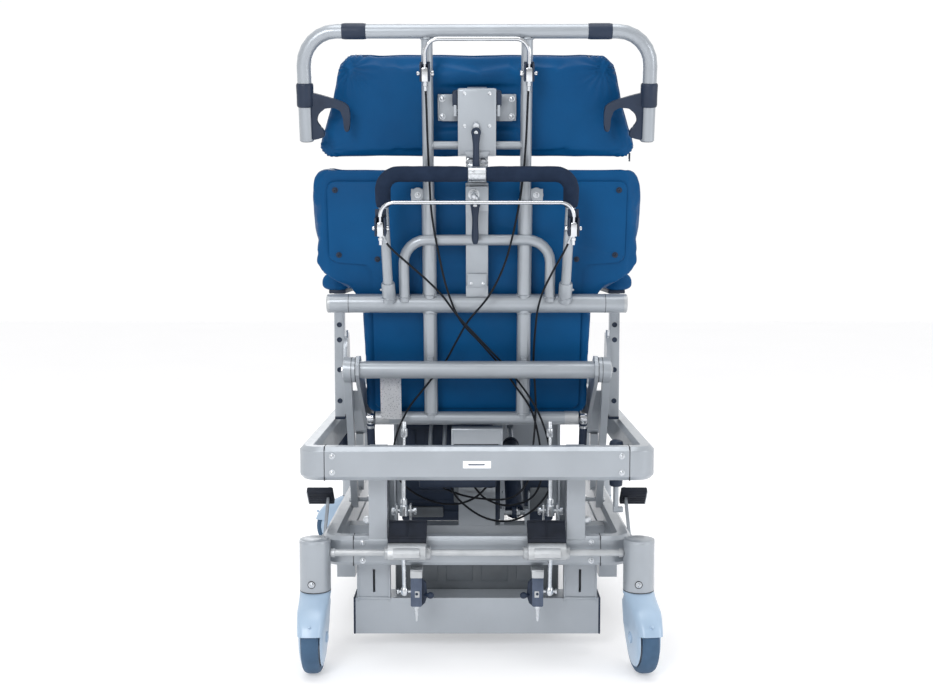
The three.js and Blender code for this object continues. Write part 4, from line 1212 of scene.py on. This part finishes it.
# Round buffers and the emergency handle.
buffer = [(0, -3), (14, -3), (19, 1), (19.5, 6), (19.5, 26), (17.5, 31), (12, 34), (0, 35)]
knob = [(0, 0), (11, 0), (14, 2), (14.5, 10), (13, 50), (15, 84), (15.5, 94), (13.5, 100), (8, 103), (0, 104)]
build("round_buffers", plastic, "chassis", [
    turned((350, -86, 413), (0, 0, -1), buffer, 30),
    turned((-306, 404, 372), (0, 0, 1), knob, 26),
])
build("emergency_rod", paint, "chassis", [
    tube([(-306, 404, 322), (-306, 404, 380)], 6, 16),
    box((-322, 398, 314), (-300, 410, 326), 2),
])

# Rivet heads under the brake linkage covers and bolts on the knee posts.
KNEE_Y, KNEE_Z = -330, 530
rivet = [(0, -1), (4.5, -1), (4.5, 0.8), (3, 2), (0, 2.4)]
build("side_fasteners", zinc, "chassis", pairs=[
    *[turned((340, -210 + 56 * k, 200), (1, 0, 0), rivet, 16) for k in range(7)],
    hexagon((316, KNEE_Y, KNEE_Z), (1, 0, 0), 11, 7),
    *[hexagon((316, KNEE_Y, z), (1, 0, 0), 6, 4) for z in (300, 420)],
])

# Footplate tread: rows of small raised lozenges, turned the other way in every other row.
bm = bmesh.new()
for row in range(14):
    odd = row % 2
    turn = Matrix.Rotation(math.radians(45 if odd else -45), 2)
    corners = [turn @ Vector(p) for p in ((-7, 0), (0, 2.4), (7, 0), (0, -2.4))]
    for column in range(19):
        x, y = -206 + 11 * odd + 22 * column, -598 + 13 * row
        skin(bm, [
            [bm.verts.new((x + p.x * long, y + p.y * wide, z)) for p in corners]
            for z, long, wide in ((95.6, 1, 1), (97.2, 0.6, 0.5))
        ])
make("footplate_tread", bm, plate, "footplate")


# ---- castors: shaped hoods and two-part wheels ----
# Height: (front edge, half width) of the hood, which is boxy below and round at the stem.
HOOD = {
    11: (22, 18.5), 20: (6, 21.6), 30: (-5, 23.4), 45: (-16, 25), 60: (-25, 26.2), 75: (-33, 27),
    88: (-39, 27.6), 96.4: (-41.5, 28), 97: (-41.8, 28), 110: (-43, 28.8), 125: (-42.5, 29.8),
    138: (-40, 30.8), 148: (-37, 31.6), 156: (-34.5, 32.3), 162: (-33, 32.6), 166: (-32, 32),
}
AXLE_Y, AXLE_Z = 35, 75


def hood_mesh():
    bm = bmesh.new()
    rings = []
    for z, (front, half) in HOOD.items():
        reach = 64 if z < 97 else 80.5
        rear = AXLE_Y + math.sqrt(reach ** 2 - (z - AXLE_Z) ** 2) if z < 150 else 64 - 2 * (z - 150)
        power = 0.4 if z < 138 else 0.4 + 0.6 * min(1.0, (z - 138) / 20)
        ring = []
        for k in range(40):
            a = 2 * math.pi * k / 40
            x = half * signed_power(math.cos(a), power)
            y = (front + rear) / 2 + (rear - front) / 2 * signed_power(math.sin(a), power)
            ring.append(bm.verts.new((x, y, z)))
        rings.append(ring)
    skin(bm, rings)
    return mesh_of(bm, "hood")


def slotted(mesh):
    """Cuts the wheel's slot out of a hood."""
    bm = bmesh.new()
    add_lathe(bm, (-20, AXLE_Y, AXLE_Z), (1, 0, 0), [(0, 0), (76, 0), (76, 40), (0, 40)], 64)
    add_box(bm, (-20, 36, -20), (20, 170, 97.5), 0.5, 1)
    shell = bpy.data.objects.new("hood_shell", mesh)
    cutter = bpy.data.objects.new("hood_cutter", mesh_of(bm, "cutter"))
    scene.collection.objects.link(shell)
    scene.collection.objects.link(cutter)
    cutting = shell.modifiers.new("slot", "BOOLEAN")
    cutting.object = cutter
    cutting.solver = "EXACT"
    cutting.use_self = True
    made = evaluated_copy(shell)
    bpy.data.objects.remove(shell)
    bpy.data.objects.remove(cutter)
    bm = bmesh.new()
    bm.from_mesh(made)
    bpy.data.meshes.remove(made)
    return bm


def castor(name, x, y, turn):
    place = Matrix.Translation((x, y, 0)) @ Matrix.Rotation(math.radians(turn), 4, "Z")
    hood = make(
        f"castor_{name}_hood", slotted(hood_mesh()), castor_plastic, f"castor_{name}", place, angle=34,
    )
    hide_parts(f"castor_{name}")
    axle_cap = [(0, -9), (12, -9), (12, 1.6), (10.5, 2.6), (5, 2.6), (4.6, 1.2), (0, 1.2)]
    build(f"castor_{name}_trim", castor_plastic, f"castor_{name}", [
        turned((0, 0, 160), (0, 0, 1), [(30.6, 0), (33.0, 0.6), (33.0, 4), (30.6, 4.6)], 40),
        turned((0, 107, 118), (0, 1, 0.6), [(0, -4), (3, -4), (3, 3.4), (2.2, 4), (0, 4)], 14),
    ], [turned((27.5, AXLE_Y, AXLE_Z), (1, 0, 0), axle_cap, 26)], place=place)
    tread = [
        (56, 4), (62, 1.5), (67, 0.6), (71, 3), (74, 8), (75, 14), (75, 24), (74, 30), (71, 35), (67, 37.4),
        (62, 36.5), (56, 34), (56, 4),
    ]
    wheel = build(f"wheel_{name}_tyre", tyre, f"wheel_{name}", [
        turned((-19, AXLE_Y, AXLE_Z), (1, 0, 0), tread, 64),
    ], place=place, angle=50)
    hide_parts(f"wheel_{name}")
    disc = [
        (6, 0), (6, 17), (15, 17), (17, 15), (20, 9), (40, 8), (50, 12), (55.6, 15), (56.6, 15), (56.6, 0),
    ]
    build(f"wheel_{name}_disc", castor_plastic, f"wheel_{name}", pairs=[
        turned((0, AXLE_Y, AXLE_Z), (1, 0, 0), disc, 48),
    ], place=place, angle=40)


CASTOR_TURNS = {"rear_left": 0, "rear_right": 8, "front_left": -90, "front_right": 0}
for (name, turn), (x, y) in zip(CASTOR_TURNS.items(), HOUSINGS):
    castor(name, x, y, turn)


# ---- release cables: routes as in the CAD source ----
def spline_through(points, per_span=8):
    """Centripetal Catmull-Rom curve through the points, sampled evenly in each span."""
    points = [Vector(p) for p in points]
    points = [points[0] * 2 - points[1]] + points + [points[-1] * 2 - points[-2]]
    made = []
    for p0, p1, p2, p3 in zip(points, points[1:], points[2:], points[3:]):
        t0 = 0.0
        t1 = t0 + (p1 - p0).length ** 0.5
        t2 = t1 + (p2 - p1).length ** 0.5
        t3 = t2 + (p3 - p2).length ** 0.5
        for k in range(per_span):
            t = t1 + (t2 - t1) * k / per_span
            a1 = p0 * ((t1 - t) / (t1 - t0)) + p1 * ((t - t0) / (t1 - t0))
            a2 = p1 * ((t2 - t) / (t2 - t1)) + p2 * ((t - t1) / (t2 - t1))
            a3 = p2 * ((t3 - t) / (t3 - t2)) + p3 * ((t - t2) / (t3 - t2))
            b1 = a1 * ((t2 - t) / (t2 - t0)) + a2 * ((t - t0) / (t2 - t0))
            b2 = a2 * ((t3 - t) / (t3 - t1)) + a3 * ((t - t1) / (t3 - t1))
            made.append(b1 * ((t2 - t) / (t2 - t1)) + b2 * ((t - t1) / (t2 - t1)))
    made.append(points[-2])
    return made


def route(*points):
    return [on_back(*p[1:]) if p[0] == "back" else Vector(p) for p in points]


CABLES = {
    "cable_upper_left": route(
        ("back", 111, 26, 736), ("back", 109, 24, 690), ("back", 107, 22, 600), ("back", 104, 26, 520),
        ("back", 99, 34, 440), ("back", 84, 36, 350), ("back", 66, 34, 270), ("back", 38, 30, 200),
        ("back", -10, 18, 140), ("back", -52, 14, 88), ("back", -92, 21, 34), ("back", -126, 22, -20),
        (-146, 250, 440), (-152, 256, 370), (-128, 264, 318), (-70, 270, 300), (-20, 270, 316),
        (14, 266, 352),
    ),
    "cable_upper_right": route(
        ("back", -111, 26, 736), ("back", -109, 24, 690), ("back", -106, 22, 600), ("back", -100, 26, 520),
        ("back", -86, 34, 430), ("back", -60, 44, 330), ("back", -26, 46, 260), ("back", 20, 40, 200),
        ("back", 50, 18, 140), ("back", 74, 13, 94), ("back", 120, 27, 38), ("back", 162, 27, -20),
        (192, 258, 440), (186, 270, 372), (136, 280, 326), (60, 288, 306), (6, 292, 322), (-30, 290, 356),
    ),
    "cable_lower_left": route(
        ("back", 208, 92, 415), ("back", 192, 84, 384), ("back", 150, 72, 340), ("back", 110, 60, 300),
        ("back", 76, 54, 262), ("back", 46, 54, 220), ("back", -4, 40, 160), ("back", -36, 24, 120),
        ("back", -66, 14, 84), ("back", -112, 34, 30), ("back", -144, 44, -24),
        (-166, 272, 440), (-170, 284, 350), (-126, 302, 294), (-70, 310, 272), (-10, 312, 284),
        (50, 308, 332), (66, 302, 372),
    ),
    "cable_lower_right": route(
        ("back", -208, 92, 415), ("back", -190, 84, 372), ("back", -166, 66, 320), ("back", -146, 52, 270),
        ("back", -136, 40, 226), ("back", -132, 34, 180), ("back", -130, 20, 130), ("back", -130, 16, 87),
        ("back", -134, 20, 34), ("back", -136, 24, -20),
        (-130, 264, 440), (-116, 278, 356), (-80, 286, 322), (-10, 280, 318), (60, 276, 334),
        (116, 272, 366),
    ),
}
ferrule = [(0, -2), (3.6, -2), (3.6, 5), (4.6, 5.6), (4.6, 12), (3.2, 15), (3.2, 26), (2.5, 28), (0, 28)]
for name, points in CABLES.items():
    path = spline_through(points)
    bm = bmesh.new()
    add_tube(bm, path, 2.4, 12)
    cable = make(f"{name}_sheath", bm, sheath, None, angle=60, ride=False)
    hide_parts(name)
    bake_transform(cable)
    build(f"{name}_ferrule", zinc, "back", [turned(path[0], path[3] - path[0], ferrule, 16)], angle=40)


# ---- floor, light and camera ----
bm = bmesh.new()
bmesh.ops.create_grid(bm, x_segments=2, y_segments=2, size=12)
bm.transform(Matrix.Translation((0, 0, -0.0005)))
floor_mesh = bpy.data.meshes.new("floor")
bm.to_mesh(floor_mesh)
bm.free()
floor_finish = finish_of("pale_floor", (0.74, 0.74, 0.75), 0.8, specular=0.1)
vary_colour(floor_finish, 1.5, (0.73, 0.73, 0.74), (0.75, 0.75, 0.76))
glow(floor_finish, (1, 1, 1), 0.34)
floor_mesh.materials.append(floor_finish)
floor = bpy.data.objects.new("floor", floor_mesh)
scene.collection.objects.link(floor)

world = bpy.data.worlds.new("studio")
world.use_nodes = True
sky = world.node_tree.nodes
background = sky["Background"]
direction = sky.new("ShaderNodeTexCoord")
split = sky.new("ShaderNodeSeparateXYZ")
world.node_tree.links.new(direction.outputs["Generated"], split.inputs["Vector"])


def sky_ramp(axis, stops):
    """Brightness along one axis of the view direction, given at -1 to 1."""
    spread = sky.new("ShaderNodeMapRange")
    spread.inputs["From Min"].default_value = -1
    ramp = sky.new("ShaderNodeValToRGB")
    points = ramp.color_ramp.elements
    while len(points) < len(stops):
        points.new(0.5)
    for point, (place, grey) in zip(points, stops):
        point.position = (place + 1) / 2
        point.color = (grey, grey, grey, 1)
    world.node_tree.links.new(split.outputs[axis], spread.inputs["Value"])
    world.node_tree.links.new(spread.outputs["Result"], ramp.inputs["Fac"])
    return ramp


# White behind the object and overhead, dimmer toward the viewer and underneath.
lengthwise = sky_ramp("Y", [(-0.5, 1.0), (0.1, 0.72), (0.8, 0.5)])
upward = sky_ramp("Z", [(-0.8, 0.4), (-0.42, 1.0), (0.3, 1.0), (0.9, 1.1)])
product = sky.new("ShaderNodeMix")
product.data_type = "RGBA"
product.blend_type = "MULTIPLY"
product.inputs[0].default_value = 1  # sockets 6, 7 and output 2 are the colour ones
world.node_tree.links.new(lengthwise.outputs["Color"], product.inputs[6])
world.node_tree.links.new(upward.outputs["Color"], product.inputs[7])
world.node_tree.links.new(product.outputs[2], background.inputs["Color"])
background.inputs["Strength"].default_value = 1.02
scene.world = world


def area_light(name, place, target, size, power):
    data = bpy.data.lights.new(name, "AREA")
    data.energy = power
    data.shape = "SQUARE"
    data.size = size
    lamp = bpy.data.objects.new(name, data)
    lamp.location = place
    lamp.rotation_euler = (Vector(target) - Vector(place)).to_track_quat("-Z", "Y").to_euler()
    scene.collection.objects.link(lamp)


area_light("key", (1.4, 4.0, 2.4), (0, 0.2, 0.7), 1.4, 66)
area_light("fill", (-3.2, 2.2, 1.4), (0, 0.2, 0.6), 1.2, 24)
area_light("top", (0, 0.8, 3.8), (0, 0.2, 0.5), 2.0, 36)
area_light("front", (0.5, -3.6, 2.4), (0, 0, 0.7), 2.0, 24)

# Camera: behind the object, looking slightly down along its length.
CAMERA_DISTANCE, CAMERA_HEIGHT, CAMERA_DIP = 3.020, 0.890, 4.75
lens = bpy.data.cameras.new("camera")
lens.sensor_width = 36
lens.lens = 46.42
lens.shift_x = -0.01125
camera = bpy.data.objects.new("camera", lens)
camera.location = (0, CAMERA_DISTANCE, CAMERA_HEIGHT)
camera.rotation_euler = (math.radians(90 - CAMERA_DIP), 0, math.pi)
scene.collection.objects.link(camera)
scene.camera = camera
scene.view_settings.view_transform = "Standard"
